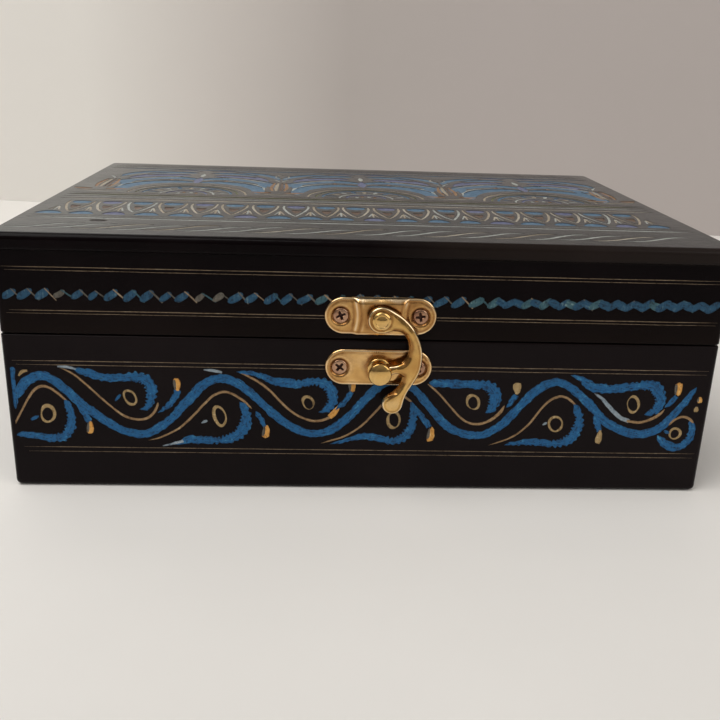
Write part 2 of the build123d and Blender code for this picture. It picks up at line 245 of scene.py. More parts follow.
def cut(name, dark, mid, light, rim, streak=1.0, rough=0.42):
    """A colour layer bared by the cutter: streaks follow the stroke (the mesh's
    "cut" attribute is along, across, and a number for each stroke)."""
    n = Nodes(name)
    way = n.attribute("cut")
    lines = n.noise(1.0, 4.0, 0.68, n.stretch((0.28, 1.7, 7.0), way))
    chatter = n.noise(1.0, 3.0, 0.6, n.stretch((1.9, 0.5, 5.0), way))
    blot = n.noise(420.0, 3.0, 0.65)
    both = n.math("ADD", n.math("MULTIPLY", lines, 0.62), n.math("MULTIPLY", chatter, 0.38))
    both = n.math("ADD", n.math("MULTIPLY", both, 0.72), n.math("MULTIPLY", blot, 0.28))
    col = n.ramp(both, [(0.40 - 0.02 * streak, dark), (0.48, mid), (0.54, mid),
                        (0.63 + 0.02 * streak, light)])
    left = n.ramp(n.noise(1.0, 4.0, 0.7, n.stretch((0.9, 2.6, 3.0), way)),
                  [(0.37, rim), (0.45, (1, 1, 1))])
    n.set("Base Color", n.mix(1.0, col, left, "MULTIPLY"))
    n.set("Roughness", n.grey(both, rough + 0.1, rough - 0.08, 0.35, 0.7))
    n.set("Specular IOR Level", 0.30)
    n.set("Normal", n.bump(lines, 0.35, 0.00012))
    return n.m


def cut_wall():
    n = Nodes("cut_wall")
    c = n.ramp(n.noise(600.0, 3.0), [(0.35, (0.010, 0.007, 0.006)), (0.7, (0.035, 0.022, 0.016))])
    n.set("Base Color", c)
    n.set("Roughness", n.grey(n.noise(300.0, 2.0), 0.4, 0.6))
    n.set("Specular IOR Level", 0.3)
    return n.m


def brass(name, base, deep, bright, rough, streak=None, bump=0.15, grain=700.0):
    """Gold-coloured plated metal with painted light. A point attribute of the mesh,
    above 0 on edges and below 0 in creases, paints highlights on the edges, partly
    rubbed brass, and painted shade in the creases, partly patina.
    streak stretches the brushing."""
    n = Nodes(name)
    tone = n.noise(130.0, 2.0, 0.5)
    cloud = n.noise(260.0, 3.0, 0.6)
    fine = n.noise(grain, 3.0, 0.6, n.stretch(streak) if streak else None)
    c = n.ramp(tone, [(0.32, deep), (0.50, base), (0.72, bright)])
    painted_light_and_wear = n.attribute("painted_light_and_wear", "Fac")
    # painted shade: the attribute below 0 browns the creases, the cloud noise adds patina
    brown = n.math("ADD", n.math("MULTIPLY", painted_light_and_wear, -1.0), n.grey(cloud, -0.25, 0.45, 0.35, 0.70))
    c = n.mix(n.grey(brown, 0.0, 0.80, 0.05, 1.0), c, tuple(k * m for k, m in zip(deep, (0.50, 0.38, 0.36))))
    # painted highlight: the attribute above 0 lightens the edges
    c = n.mix(n.grey(painted_light_and_wear, 0.0, 0.85, 0.0, 0.9), c, (0.98, 0.80, 0.55))
    n.set("Base Color", c)
    n.set("Metallic", 1.0)
    n.set("Roughness", n.math("ADD", n.grey(fine, rough - 0.04, rough + 0.07, 0.3, 0.7),
                              n.grey(brown, 0.0, 0.10, 0.2, 1.0)))
    n.set("Normal", n.bump(n.noise(150.0, 2.0, 0.5), bump, 0.0022))
    return n.m


def velvet():
    """Dark red flocked velvet: short pile, soft sheen, brushed patches."""
    n = Nodes("velvet_maroon")
    nap = n.noise(55.0, 4.0, 0.6, n.stretch((1.0, 1.6, 1.0)))
    pile = n.noise(5200.0, 2.0, 0.6)
    tuft = n.voronoi(3600.0)
    c = n.ramp(nap, [(0.30, (0.070, 0.006, 0.012)), (0.5, (0.125, 0.012, 0.020)),
                     (0.72, (0.215, 0.028, 0.040))])
    c = n.mix(n.grey(tuft, 0.0, 0.45, 0.2, 0.8), c, (0.028, 0.003, 0.006))
    n.set("Base Color", c)
    n.set("Roughness", n.grey(pile, 0.82, 0.97))
    n.set("Specular IOR Level", 0.15)
    n.set("Sheen Weight", 0.55)
    n.set("Sheen Roughness", 0.35)
    n.set("Sheen Tint", (0.85, 0.30, 0.32, 1.0))
    soft = n.bump(nap, 0.35, 0.0015)
    n.set("Normal", n.bump(n.math("ADD", pile, tuft), 0.5, 0.00025, soft))
    return n.m


def recess_grime_and_shade():
    """Old polish and dust packed into a screw's recess, darkened further as painted shade."""
    n = Nodes("recess_dark")
    n.set("Base Color", n.ramp(n.noise(1500.0, 3.0), [(0.35, (0.030, 0.010, 0.008)), (0.7, (0.11, 0.045, 0.03))]))
    n.set("Metallic", 0.6)
    n.set("Roughness", n.grey(n.noise(900.0, 2.0), 0.35, 0.6))
    return n.m


MAT = {
    "lacquer": lacquer(),
    # the lid top's lacquer is lighter and bluer than the walls' black: painted reflection
    "t_lacquer": lacquer("lacquer_top", 0.16, ((0.0038, 0.0068, 0.0085), (0.0056, 0.0088, 0.0106),
                                               (0.0080, 0.0104, 0.0116)), False),
    "wall": cut_wall(),
    "recess": recess_grime_and_shade(),
    "blue": cut("cut_blue", srgb(8, 50, 86), srgb(20, 90, 140), srgb(66, 140, 180), (0.08, 0.11, 0.16)),
    "chip": cut("cut_teal", srgb(12, 36, 56), srgb(30, 74, 102), srgb(94, 124, 136), (0.18, 0.20, 0.24)),
    "mint": cut("cut_mint", srgb(26, 52, 62), srgb(56, 92, 102), srgb(128, 156, 158), (0.30, 0.32, 0.34)),
    "link": cut("cut_bone", srgb(58, 55, 50), srgb(98, 93, 84), srgb(142, 134, 120), (0.40, 0.40, 0.42)),
    "lilac": cut("cut_lilac", srgb(60, 64, 118), srgb(92, 98, 162), srgb(150, 154, 200), (0.30, 0.32, 0.45)),
    "pale": cut("cut_pale", srgb(88, 104, 118), srgb(140, 154, 164), srgb(190, 198, 202), (0.40, 0.42, 0.50)),
    "gold": cut("cut_tan", srgb(104, 78, 52), srgb(156, 125, 88), srgb(206, 180, 138), (0.50, 0.42, 0.36), rough=0.38),
    "cream": cut("cut_cream", srgb(116, 94, 62), srgb(168, 142, 98), srgb(216, 194, 150), (0.55, 0.46, 0.34)),
    "orange": cut("cut_orange", srgb(158, 100, 42), srgb(214, 156, 76), srgb(244, 212, 146), (0.55, 0.40, 0.28)),
    "olive": cut("cut_olive", srgb(84, 80, 34), srgb(124, 118, 58), srgb(168, 160, 98), (0.45, 0.42, 0.30)),
    "brown": cut("cut_brown", srgb(62, 32, 20), srgb(98, 54, 34), srgb(140, 86, 56), (0.40, 0.30, 0.26)),
    "line": cut("cut_line", srgb(92, 74, 56), srgb(142, 122, 98), srgb(186, 168, 142), (0.45, 0.40, 0.36), rough=0.38),
    # the lid's top takes paler, greyer copies of the colours: painted reflection of the sheen across the top
    "t_blue": cut("top_blue", srgb(44, 78, 104), srgb(76, 110, 136), srgb(112, 148, 170), (0.50, 0.52, 0.55)),
    "t_lilac": cut("top_lilac", srgb(72, 78, 108), srgb(98, 104, 134), srgb(132, 140, 164), (0.50, 0.50, 0.54)),
    "t_pale": cut("top_pale", srgb(124, 128, 126), srgb(170, 174, 168), srgb(208, 210, 202), (0.50, 0.50, 0.52)),
    "t_gold": cut("top_tan", srgb(118, 108, 92), srgb(162, 150, 130), srgb(200, 190, 170), (0.50, 0.48, 0.46), rough=0.38),
    "t_cream": cut("top_cream", srgb(130, 124, 110), srgb(176, 168, 152), srgb(212, 204, 188), (0.55, 0.52, 0.48)),
    "t_orange": cut("top_orange", srgb(104, 74, 48), srgb(144, 108, 74), srgb(180, 150, 112), (0.50, 0.45, 0.40)),
    "t_olive": cut("top_olive", srgb(74, 76, 48), srgb(106, 108, 74), srgb(142, 142, 106), (0.48, 0.46, 0.40)),
    "t_brown": cut("top_brown", srgb(70, 54, 44), srgb(98, 78, 64), srgb(128, 106, 88), (0.48, 0.42, 0.40)),
    "velvet": velvet(),
    "plate": brass("brass_stamped", (0.69, 0.41, 0.145), (0.47, 0.245, 0.082), (0.93, 0.63, 0.31), 0.16,
                   streak=(1.0, 1.0, 5.0), bump=0.16),
    "cast": brass("brass_cast", (0.67, 0.40, 0.125), (0.48, 0.25, 0.075), (0.83, 0.54, 0.19), 0.15, bump=0.22),
    "turned": brass("brass_turned", (0.74, 0.46, 0.155), (0.60, 0.34, 0.105), (0.87, 0.60, 0.25), 0.13, bump=0.06),
    "screw": brass("brass_screw", (0.46, 0.26, 0.16), (0.32, 0.16, 0.10), (0.64, 0.42, 0.27), 0.22, bump=0.2),
    "hinge": brass("brass_hinge", (0.70, 0.43, 0.17), (0.54, 0.30, 0.11), (0.84, 0.57, 0.26), 0.20,
                   streak=(6.0, 1.0, 1.0), bump=0.10),
}
MAT["ring"] = MAT["cream"]
MAT["t_ring"] = MAT["t_cream"]

SLOT_OF = {"lacquer": "lacquered_wood", "velvet": "velvet", "latch": "latch_brass",
           "screw": "screw_brass", "hinge": "hinge_brass"}
for name, node in NODES.items():
    if "screws" in name:
        use = MAT["screw"]
    elif name.startswith("hinge"):
        use = MAT["hinge"]
    elif name in ("latch_lid_plate", "latch_body_plate"):
        use = MAT["plate"]
    elif name in ("latch_stud", "latch_pivot_rivet"):
        use = MAT["turned"]
    elif name == "latch_hook":
        use = MAT["cast"]
    elif "lining" in name or "pad" in name:
        use = MAT["velvet"]
    else:
        use = MAT["lacquer"]
    node.data.materials.clear()
    node.data.materials.append(use)


# ------------------------------------------------------------ stroke geometry
def smooth_path(pts, step):
    """Catmull-Rom curve through (x, y, width) points, resampled evenly."""
    n = len(pts)
    out = []
    for i in range(n - 1):
        p0 = pts[max(i - 1, 0)]
        p1, p2 = pts[i], pts[i + 1]
        p3 = pts[min(i + 2, n - 1)]
        seg = math.dist(p1[:2], p2[:2])
        k = max(2, int(seg / step + 0.5))
        for j in range(k):
            t = j / k
            t2, t3 = t * t, t * t * t
            out.append(tuple(
                0.5 * ((2 * b) + (c - a) * t + (2 * a - 5 * b + 4 * c - d) * t2
                       + (3 * b - a - 3 * c + d) * t3)
                for a, b, c, d in zip(p0, p1, p2, p3)))
    out.append(pts[-1])
    return out


def wobble(rng, n, scale, amp):
    """Smooth random wave of n values with features about `scale` samples long."""
    m = int(n / scale) + 4
    knots = [rng.uniform(-1, 1) for _ in range(m)]
    out = []
    for i in range(n):
        t = i / scale
        k = int(t)
        f = t - k
        f = f * f * (3 - 2 * f)
        out.append(amp * (knots[k] * (1 - f) + knots[k + 1] * f))
    return out


class Outline(list):
    """Closed outline that may remember the line it was drawn along."""
    path = None


def ribbon(pts, seed, step=0.3, rag=0.08, fine=0.04, comb=None, taper=(0.0, 0.0)):
    """Outline of a brush or scraper stroke along (x, y, width) points.
    comb = (side, from, to, depth, pitch) cuts teeth into one edge."""
    rng = random.Random(seed)
    path = smooth_path(pts, step)
    n = len(path)
    length = [0.0]
    for i in range(1, n):
        length.append(length[-1] + math.dist(path[i - 1][:2], path[i][:2]))
    total = length[-1]
    wl = [wobble(rng, n, 2.6 / step, rag), wobble(rng, n, 2.6 / step, rag)]
    wf = [wobble(rng, n, 0.55 / step + 0.6, fine), wobble(rng, n, 0.55 / step + 0.6, fine)]
    sides = [[], []]
    for i, (x, y, w) in enumerate(path):
        a = path[max(i - 1, 0)]
        b = path[min(i + 1, n - 1)]
        dx, dy = b[0] - a[0], b[1] - a[1]
        d = math.hypot(dx, dy) or 1.0
        nx, ny = -dy / d, dx / d
        ease = 1.0
        if taper[0] and length[i] < taper[0]:
            ease = min(ease, math.sqrt(max(0.03, length[i] / taper[0])))
        if taper[1] and total - length[i] < taper[1]:
            ease = min(ease, math.sqrt(max(0.03, (total - length[i]) / taper[1])))
        for s, sign in ((0, 1.0), (1, -1.0)):
            h = max(0.04, w * 0.5 * ease + (wl[s][i] + wf[s][i]) * min(1.0, w / 1.2) * ease)
            if comb:
                for c in (comb if isinstance(comb, list) else [comb]):
                    side, u0, u1, depth, pitch = c
                    u = length[i] / total
                    if side == s and u0 <= u <= u1:
                        fade = min(1.0, (u - u0) / 0.06, (u1 - u) / 0.06)
                        ph = (length[i] / pitch) % 1.0
                        saw = ph if ph < 0.62 else (1 - ph) / 0.38 * 0.62
                        h -= depth * fade * (saw / 0.62) * (0.75 + 0.25 * math.sin(7.3 * i + seed))
            h = max(0.04, h)
            sides[s].append((x + nx * h * sign, y + ny * h * sign))
    out = Outline(sides[0] + sides[1][::-1])
    out.path = [(x, y) for x, y, _ in path]
    return out


def ring(cx, cy, rx, ry, t, turn, seed, wob=0.14, n=26):
    """A hand-cut ring as an outer outline and an inner outline."""
    rng = random.Random(seed)
    t *= 0.74
    wo = [rng.uniform(-wob, wob) for _ in range(6)]
    wi = [rng.uniform(-wob, wob) for _ in range(6)]
    c, s = math.cos(math.radians(turn)), math.sin(math.radians(turn))

    def loop(rx, ry, wv):
        out = []
        for i in range(n):
            a = 2 * math.pi * i / n
            k = i * 6 / n
            j = int(k)
            f = k - j
            f = f * f * (3 - 2 * f)
            m = 1 + wv[j % 6] * (1 - f) + wv[(j + 1) % 6] * f
            x, y = rx * m * math.cos(a), ry * m * math.sin(a)
            out.append((cx + c * x - s * y, cy + s * x + c * y))
        return out

    return loop(rx, ry, wo), loop(rx - t, ry - t, wi)


def drop(x, y, w, h, lean, seed):
    """A blunt teardrop, wide at its far end; lean shifts the narrow end."""
    rng = random.Random(seed)
    pts = []
    n = 22
    w, h = 0.92 * w, 0.94 * h
    for i in range(n):
        a = 2 * math.pi * i / n
        u = math.cos(a)            # -1 narrow end .. 1 blunt end
        v = math.sin(a)
        r = 1.0 + rng.uniform(-0.09, 0.09)
        wid = 0.5 * w * math.copysign(abs(v) ** 0.72, v) * (0.76 + 0.26 * u) * r
        pts.append((x + wid - lean * u * 0.5, y - h * 0.5 * u * r))
    return pts


def two_tone(x, y, w, h, lean, seed):
    """A drop with its left side scraped back to the pale ground."""
    return [("orange", drop(x, y, w, h, lean, seed)),
            ("link", drop(x - 0.25 * w, y + 0.05 * h, 0.40 * w, 0.80 * h, 0.8 * lean, seed + 7))]


# ------------------------------------------------------- front scroll (x, z)
# every entry: (kind, outline) ; kinds: blue, pale, gold, cream, orange, line
VINE = [(-91.9, 25.6, 1.4), (-90.6, 29.0, 2.4), (-88.3, 31.2, 2.5), (-85.5, 32.1, 2.6),
        (-82.5, 31.0, 2.5), (-80, 28.8, 2.4), (-77, 25.8, 2.5), (-74, 23.0, 2.5),
        (-70, 19.8, 2.4), (-66, 17.2, 2.4), (-62, 15.8, 2.3), (-58.5, 15.9, 2.3),
        (-55, 17.8, 2.3), (-52, 20.3, 2.4), (-49.5, 23.2, 2.5), (-47, 26.0, 2.5),
        (-44, 29.6, 2.5), (-41, 31.6, 2.4), (-39, 32.1, 2.5), (-36.5, 31.8, 2.6),
        (-33.5, 30.3, 2.4), (-30.5, 27.8, 2.4), (-27.5, 24.8, 2.4), (-24, 21.5, 2.4),
        (-20, 18.5, 2.4), (-16.5, 16.8, 2.3), (-13, 16.4, 2.3), (-9.5, 17.3, 2.4),
        (-6, 19.8, 2.5), (-3, 23.0, 2.4), (-0.5, 26.0, 2.4), (2, 28.8, 2.4),
        (5, 31.2, 2.4), (8.5, 32.0, 2.4), (12, 30.5, 2.3), (14.5, 28.3, 2.2),
        (17, 25.3, 2.2), (20, 21.8, 2.3), (23.5, 18.6, 2.4), (27, 16.9, 2.4),
        (30.5, 16.4, 2.4), (34, 17.2, 2.4), (37.5, 19.5, 2.4), (40, 22.4, 2.4),
        (42.5, 25.6, 2.4), (45, 28.7, 2.5), (48, 31.2, 2.5), (51, 32.4, 2.3),
        (53, 32.2, 2.2), (56, 30.7, 2.3), (59, 28.2, 2.4), (62, 25.4, 2.4),
        (65, 22.4, 2.3), (68, 20.2, 2.4), (72, 18.2, 2.4), (75.5, 17.4, 2.4),
        (78.5, 17.7, 2.4), (81.5, 19.2, 2.5), (84, 21.5, 2.4), (86, 24.3, 2.3),
        (88, 27.5, 2.0), (89.5, 30.0, 1.7), (90.4, 31.6, 1.0)]


def moved(items, dx=0.0, sx=1.0, ox=0.0):
    """Strokes shifted by dx, then narrowed by sx about x = ox."""
    out = []

    def go(q):
        r = Outline(((x + dx - ox) * sx, y) for x, y in q)
        if getattr(q, "path", None):
            r.path = [((x + dx - ox) * sx, y) for x, y in q.path]
        return r

    for kind, q in items:
        out.append((kind, tuple(go(k) for k in q) if kind == "ring" else go(q)))
    return out


def scroll_band():
    g = scroll_parts()
    vine = ribbon(VINE, 1, step=0.27, rag=0.13, fine=0.15, taper=(2, 2))
    return [("blue", vine)] + g["a"] + g["b"] + g["c"] + g["d"]


def scroll_short():
    """The same scroll with its third part left out, for the box's ends."""
    g = scroll_parts()
    cutout = 44.4
    pts = ([p for p in VINE if p[0] < -15] + [(x - cutout, z, w) for x, z, w in VINE if x > 29])
    vine = ribbon(pts, 7, step=0.27, rag=0.13, fine=0.15, taper=(2, 2))
    items = [("blue", vine)] + g["a"] + g["b"] + moved(g["d"], dx=-cutout)
    return moved(items, sx=0.905, ox=-22.8)


def scroll_parts():
    """The running scroll in pieces: left end, three middle parts, right end."""
    groups = {k: [] for k in "abcd"}
    out = groups["a"]

    def st(kind, pts, seed, **kw):
        if kind in ("gold", "cream"):
            pts = [(x, z, 0.20 + 0.48 * w) for x, z, w in pts]
        elif kind == "blue":
            pts = [(x, z, 0.92 * w) for x, z, w in pts]
        if "comb" in kw:
            side, u0, u1, depth, pitch = kw["comb"]
            kw["comb"] = [(side, u0, u1, 1.25 * depth, 1.15),
                          (1 - side, max(0.04, u0 - 0.08), min(0.98, u1 + 0.02), 0.95 * depth, 1.3)]
        out.append((kind, ribbon(pts, seed, **kw)))

    B = dict(step=0.25, rag=0.14, fine=0.21)
    G = dict(step=0.36, rag=0.05, fine=0.06)
    # left end: upright stroke
    st("blue", [(-92.5, 34.4, 1.3), (-92.9, 31.5, 1.7), (-92.6, 28.5, 1.7), (-92.6, 25.5, 1.8),
                (-92.9, 22.5, 0.9)], 2, taper=(0.6, 2), **B)
    st("cream", [(-88.8, 33.4, 0.9), (-90.2, 33.1, 1.5), (-91.2, 31.9, 0.6)], 3, **G)
    # upper paisley 1
    st("blue", [(-77.5, 34.3, 0.9), (-74, 33.3, 2.0), (-71, 32.3, 2.3), (-67.5, 31.7, 2.4),
                (-64, 31.8, 2.6), (-61.5, 32.2, 3.3), (-59.0, 31.7, 3.9), (-57.5, 30.2, 3.9),
                (-57.0, 28.0, 3.9), (-57.2, 25.6, 3.4), (-58.4, 23.4, 2.2), (-60.4, 22.9, 0.9)],
       11, taper=(2, 1.5), comb=(1, 0.55, 0.97, 0.75, 0.8), **B)
    st("pale", [(-81.0, 34.7, 0.5), (-78.5, 34.6, 0.8), (-76.2, 34.1, 0.5)], 12, **G)
    st("gold", [(-80.5, 34.3, 0.3), (-79, 33.8, .65), (-76.5, 32.2, .75), (-73, 28.9, .85),
                (-70, 25.8, .8), (-67.5, 23.4, .85), (-65, 21.3, .95), (-63, 20.3, 1.05),
                (-60.5, 19.9, 1.1), (-58.5, 20.3, 1.1), (-56.8, 21.7, 1.1), (-55.7, 23.5, 1.0),
                (-55.3, 25.0, .7)], 13, taper=(2, 0.6), **G)
    st("blue", [(-66.6, 25.2, .4), (-65.7, 26.3, 0.9), (-65.1, 27.1, 0.5)], 14, **G)
    out.append(("ring", ring(-62.7, 26.3, 1.75, 2.35, 0.8, 24, 10)))
    # drop 1 and 2
    st("blue", [(-76.6, 24.6, 1.4), (-75.3, 22.6, 1.9), (-74.3, 20.6, 1.7), (-73.8, 19.0, 1.5)],
       15, taper=(1, 0), **B)
    out.extend(two_tone(-73.6, 17.4, 2.5, 4.0, 0.5, 16))
    st("blue", [(-55.5, 21.9, .6), (-53.4, 23.3, 1.3), (-51.5, 25.2, 1.7), (-50.4, 27.4, 1.9),
                (-50.2, 28.6, 1.7)], 17, taper=(2, 0), **B)
    out.extend(two_tone(-50.1, 30.1, 2.6, -4.0, 0.3, 18))
    # lower paisley 1
    st("gold", [(-94.0, 17.0, .5), (-93, 19, .65), (-91.2, 22.2, .75), (-89.5, 25.2, .9),
                (-87.6, 27.9, 1.0), (-85.5, 29.1, 1.1), (-83.5, 28.7, 1.0), (-81.5, 27.2, 1.0),
                (-80, 25.7, .9), (-79.0, 24.9, .6)], 21, taper=(2, 1), **G)
    st("blue", [(-79.9, 25.2, 1.2), (-78.9, 23.6, 2.3), (-78.5, 21.5, 2.7), (-78.6, 19, 3.0),
                (-79.4, 16.3, 3.4), (-81.2, 14.5, 3.3), (-84, 14.1, 2.5), (-87, 14.6, 2.1),
                (-90, 15.1, 2.0), (-92.4, 15.0, 1.5), (-93.3, 14.8, 0.9)], 22,
       taper=(1, 1.5), comb=(1, 0.10, 0.62, 0.6, 0.8), **B)
    out.append(("ring", ring(-84.6, 21.2, 2.05, 2.65, 0.85, -8, 23)))
    st("blue", [(-89.1, 19.4, .6), (-87.9, 20.1, 1.1), (-87.0, 20.5, .5)], 24, **G)
    out = groups["b"]
    # lower paisley 2
    st("gold", [(-58.4, 13.8, .3), (-55.5, 14.6, .6), (-52.5, 16.0, .75), (-50, 17.5, .8),
                (-47.5, 19.8, .9), (-45, 22.5, .9), (-42.8, 25.0, 1.0), (-40.5, 27.2, 1.0),
                (-38, 28.2, 1.1), (-35.8, 27.8, 1.0), (-33.8, 26.6, 1.0), (-32, 25.2, .9),
                (-30.4, 23.4, .5)], 31, taper=(3, 1), **G)
    st("blue", [(-33.7, 25.5, .8), (-32.6, 24.0, 2.7), (-32.0, 21.0, 3.5), (-32.5, 18, 3.9),
                (-34.6, 15.6, 3.8), (-38.0, 14.2, 3.0), (-41, 14.0, 2.8), (-44.5, 14.2, 2.5),
                (-47.5, 14.2, 2.1), (-50, 13.4, 1.4), (-52.8, 12.6, 0.7)], 32,
       taper=(1, 2), comb=(1, 0.08, 0.62, 0.75, 0.8), **B)
    st("pale", [(-49.0, 13.7, 0.8), (-51.8, 12.9, 0.7), (-54.6, 12.2, 0.3)], 33, **G)
    out.append(("ring", ring(-39.0, 21.2, 1.75, 3.1, 0.8, 16, 34, wob=0.16)))
    st("pale", [(-44.0, 19.1, .3), (-43.0, 19.6, .8), (-42.4, 19.9, .4)], 35, **G)
    st("pale", [(-43.0, 34.4, .4), (-40.5, 34.2, .8), (-38.2, 33.7, .6)], 36, **G)
    # upper paisley 2
    st("blue", [(-34.5, 34.0, .6), (-32, 33.8, 1.3), (-29, 33.3, 1.7), (-26.5, 32.2, 2.1),
                (-23.5, 31.3, 2.6), (-20, 31.0, 2.8), (-16.5, 31.2, 2.7), (-13.5, 31.5, 2.9),
                (-11.2, 31.0, 3.5), (-9.6, 29.5, 3.7), (-8.8, 27.2, 3.5), (-9.3, 24.9, 3.2),
                (-10.9, 23.2, 1.9), (-12.6, 22.7, .7)], 41,
       taper=(2, 1.5), comb=(1, 0.5, 0.97, 0.75, 0.8), **B)
    st("gold", [(-33.2, 33.5, .4), (-31, 32.6, .9), (-28, 30.8, 1.0), (-25.5, 28.7, 1.0),
                (-23, 25.9, .9), (-20.5, 23.4, .9), (-18, 21.6, 1.0), (-15.5, 20.5, 1.05),
                (-13, 20.1, 1.15), (-10.8, 20.6, 1.3), (-9.2, 21.5, 1.5)], 42,
       taper=(2, 0), **G)
    st("orange", [(-9.6, 21.3, 1.5), (-8.4, 22.5, 1.6), (-7.5, 23.8, 1.2), (-7.1, 24.8, .5)], 43, **G)
    out.append(("ring", ring(-15.3, 25.4, 1.75, 2.2, 0.8, 22, 44)))
    # drops 3, 4, 5
    st("blue", [(-29.4, 22.8, .8), (-28.4, 21.0, 1.6), (-27.4, 19.2, 1.6), (-26.9, 18.2, 1.4)],
       45, taper=(1, 0), **B)
    out.extend(two_tone(-26.6, 16.8, 2.7, 4.0, 0.6, 46))
    st("blue", [(-8.0, 23.4, .7), (-6.3, 25.0, 1.5), (-4.7, 26.9, 1.8), (-3.8, 28.8, 1.7)],
       47, taper=(2, 0), **B)
    out.extend(two_tone(-3.6, 30.4, 2.6, -3.8, 0.3, 48))
    out = groups["c"]
    st("blue", [(12.9, 25.4, 1.2), (14.9, 22.7, 1.8), (16.8, 20.3, 1.7), (17.7, 18.6, 1.5)],
       49, taper=(1, 0), **B)
    out.extend(two_tone(18.4, 16.6, 2.7, 4.6, 0.5, 50))
    # lower paisley 3
    st("gold", [(-11.8, 13.5, .3), (-9, 14.4, .6), (-6, 15.4, .75), (-3.5, 16.8, .8),
                (-1, 18.7, .85), (1.0, 20.8, .85), (3.0, 23.2, .9), (5.3, 25.9, .95),
                (7.5, 27.8, 1.0), (9.6, 28.1, 1.0), (11.4, 27.0, .95), (12.8, 25.8, .7)], 51,
       taper=(3, 1), **G)
    st("blue", [(12.3, 26.2, .8), (13.0, 24.5, 2.1), (13.2, 21.5, 2.9), (12.7, 18.5, 3.3),
                (11.2, 15.9, 3.4), (8.6, 14.5, 2.8), (5.5, 14.9, 2.3), (2.5, 15.6, 2.1),
                (-.5, 15.7, 1.8), (-3.4, 14.9, 1.4), (-6.4, 14.0, 1.0), (-9.3, 13.3, .5)], 52,
       taper=(1, 2), comb=(1, 0.08, 0.55, 0.7, 0.8), **B)
    out.append(("ring", ring(7.9, 20.7, 1.9, 2.5, 0.85, 4, 53)))
    # upper paisley 3
    st("blue", [(17.0, 31.7, 1.4), (19, 31.7, 2.4), (22, 31.6, 2.6), (25, 31.4, 2.8),
                (28, 31.5, 2.8), (31, 31.4, 3.2), (33.5, 30.7, 4.3), (35.0, 28.7, 4.3),
                (35.2, 26.3, 3.9), (34.3, 24.2, 3.0), (32.9, 23.2, 1.2)], 61,
       taper=(1, 1.5), comb=(1, 0.5, 0.97, 0.75, 0.8), **B)
    st("gold", [(16.6, 31.4, .4), (18.5, 29.9, .7), (20.5, 27.9, .7), (23, 25.1, .75),
                (25.5, 22.3, .8), (28, 20.4, .95), (30.5, 19.8, 1.15), (33, 20.3, 1.3),
                (35.3, 21.7, 1.4), (37, 23.5, 1.4), (38, 25.5, .7)], 62, taper=(1, 1), **G)
    out.append(("ring", ring(29.3, 26.3, 1.95, 2.4, 0.85, 14, 63)))
    st("blue", [(38.6, 24.8, 1.0), (39.8, 26.6, 1.6), (40.8, 28.6, 1.7)], 64, taper=(1, 0), **B)
    out.append(("cream", drop(41.0, 30.4, 3.1, -3.8, 0.2, 65)))
    out = groups["d"]
    # lower paisley 4
    st("gold", [(34.5, 13.5, .3), (37.5, 14.6, .6), (40.5, 15.9, .75), (43, 17.7, .8),
                (45.2, 20.0, .9), (47, 22.8, .95), (48.8, 25.5, 1.0), (50.8, 27.5, 1.1),
                (53, 28.3, 1.1), (55, 27.9, 1.0), (56.7, 26.6, .9), (58, 25.2, .6)], 71,
       taper=(3, 1), **G)
    st("blue", [(57.0, 26.1, .8), (58.2, 24.4, 2.2), (59.0, 22, 2.9), (59.0, 19.3, 3.6),
                (57.9, 16.8, 4.0), (55.6, 14.9, 3.5), (52.2, 14.3, 2.7), (49, 14.6, 2.4),
                (45.5, 14.8, 2.1), (42, 14.3, 1.6), (38.9, 13.6, .7)], 72,
       taper=(1, 2), comb=(1, 0.08, 0.6, 0.75, 0.8), **B)
    out.append(("ring", ring(52.6, 20.2, 2.2, 2.5, 0.8, 24, 73)))
    st("pale", [(49.0, 19.8, .3), (49.8, 20.3, .8), (50.2, 20.6, .3)], 74, **G)
    st("blue", [(63.0, 22.8, 1.2), (64.0, 20.9, 1.8), (64.9, 19.0, 1.8), (65.2, 18.0, 1.6)],
       75, taper=(1, 0), **B)
    out.append(("cream", drop(65.2, 16.4, 2.5, 4.4, 0.3, 76)))
    # upper paisley 4
    st("blue", [(55.2, 34.5, .5), (56.8, 34.2, 1.1), (58.5, 33.4, 1.8), (60.5, 31.9, 2.6),
                (62.5, 31.0, 3.0), (65.5, 30.7, 2.8), (69, 31.0, 2.7), (72.5, 31.5, 2.8),
                (75.5, 31.9, 3.0), (78, 31.8, 3.9), (80.0, 30.2, 4.3), (80.9, 27.9, 3.8),
                (80.5, 25.5, 3.5), (79, 24.0, 2.6), (77, 23.3, 1.0)], 81,
       taper=(2, 1.5), comb=(1, 0.55, 0.97, 0.7, 0.8), **B)
    st("pale", [(62.3, 29.4, .4), (64.5, 28.0, .9), (66.5, 25.9, 1.1), (68.5, 23.9, 1.1),
                (70.5, 22.3, 1.1), (73, 21.2, 1.2)], 82, taper=(1, 0), **G)
    st("gold", [(72.4, 21.4, 1.2), (75.5, 20.9, 1.3), (78, 21.5, 1.4), (80, 22.5, 1.5),
                (81.6, 23.8, 1.3), (82.5, 25.1, .6)], 83, taper=(0, 1), **G)
    out.append(("ring", ring(73.4, 26.3, 1.9, 2.6, 0.85, 20, 84)))
    st("blue", [(82.4, 25.5, 1.0), (84, 27.2, 1.5), (85.2, 28.9, 1.6)], 85, taper=(1, 0), **B)
    out.extend(two_tone(85.5, 30.9, 2.9, -4.2, 0.2, 86))
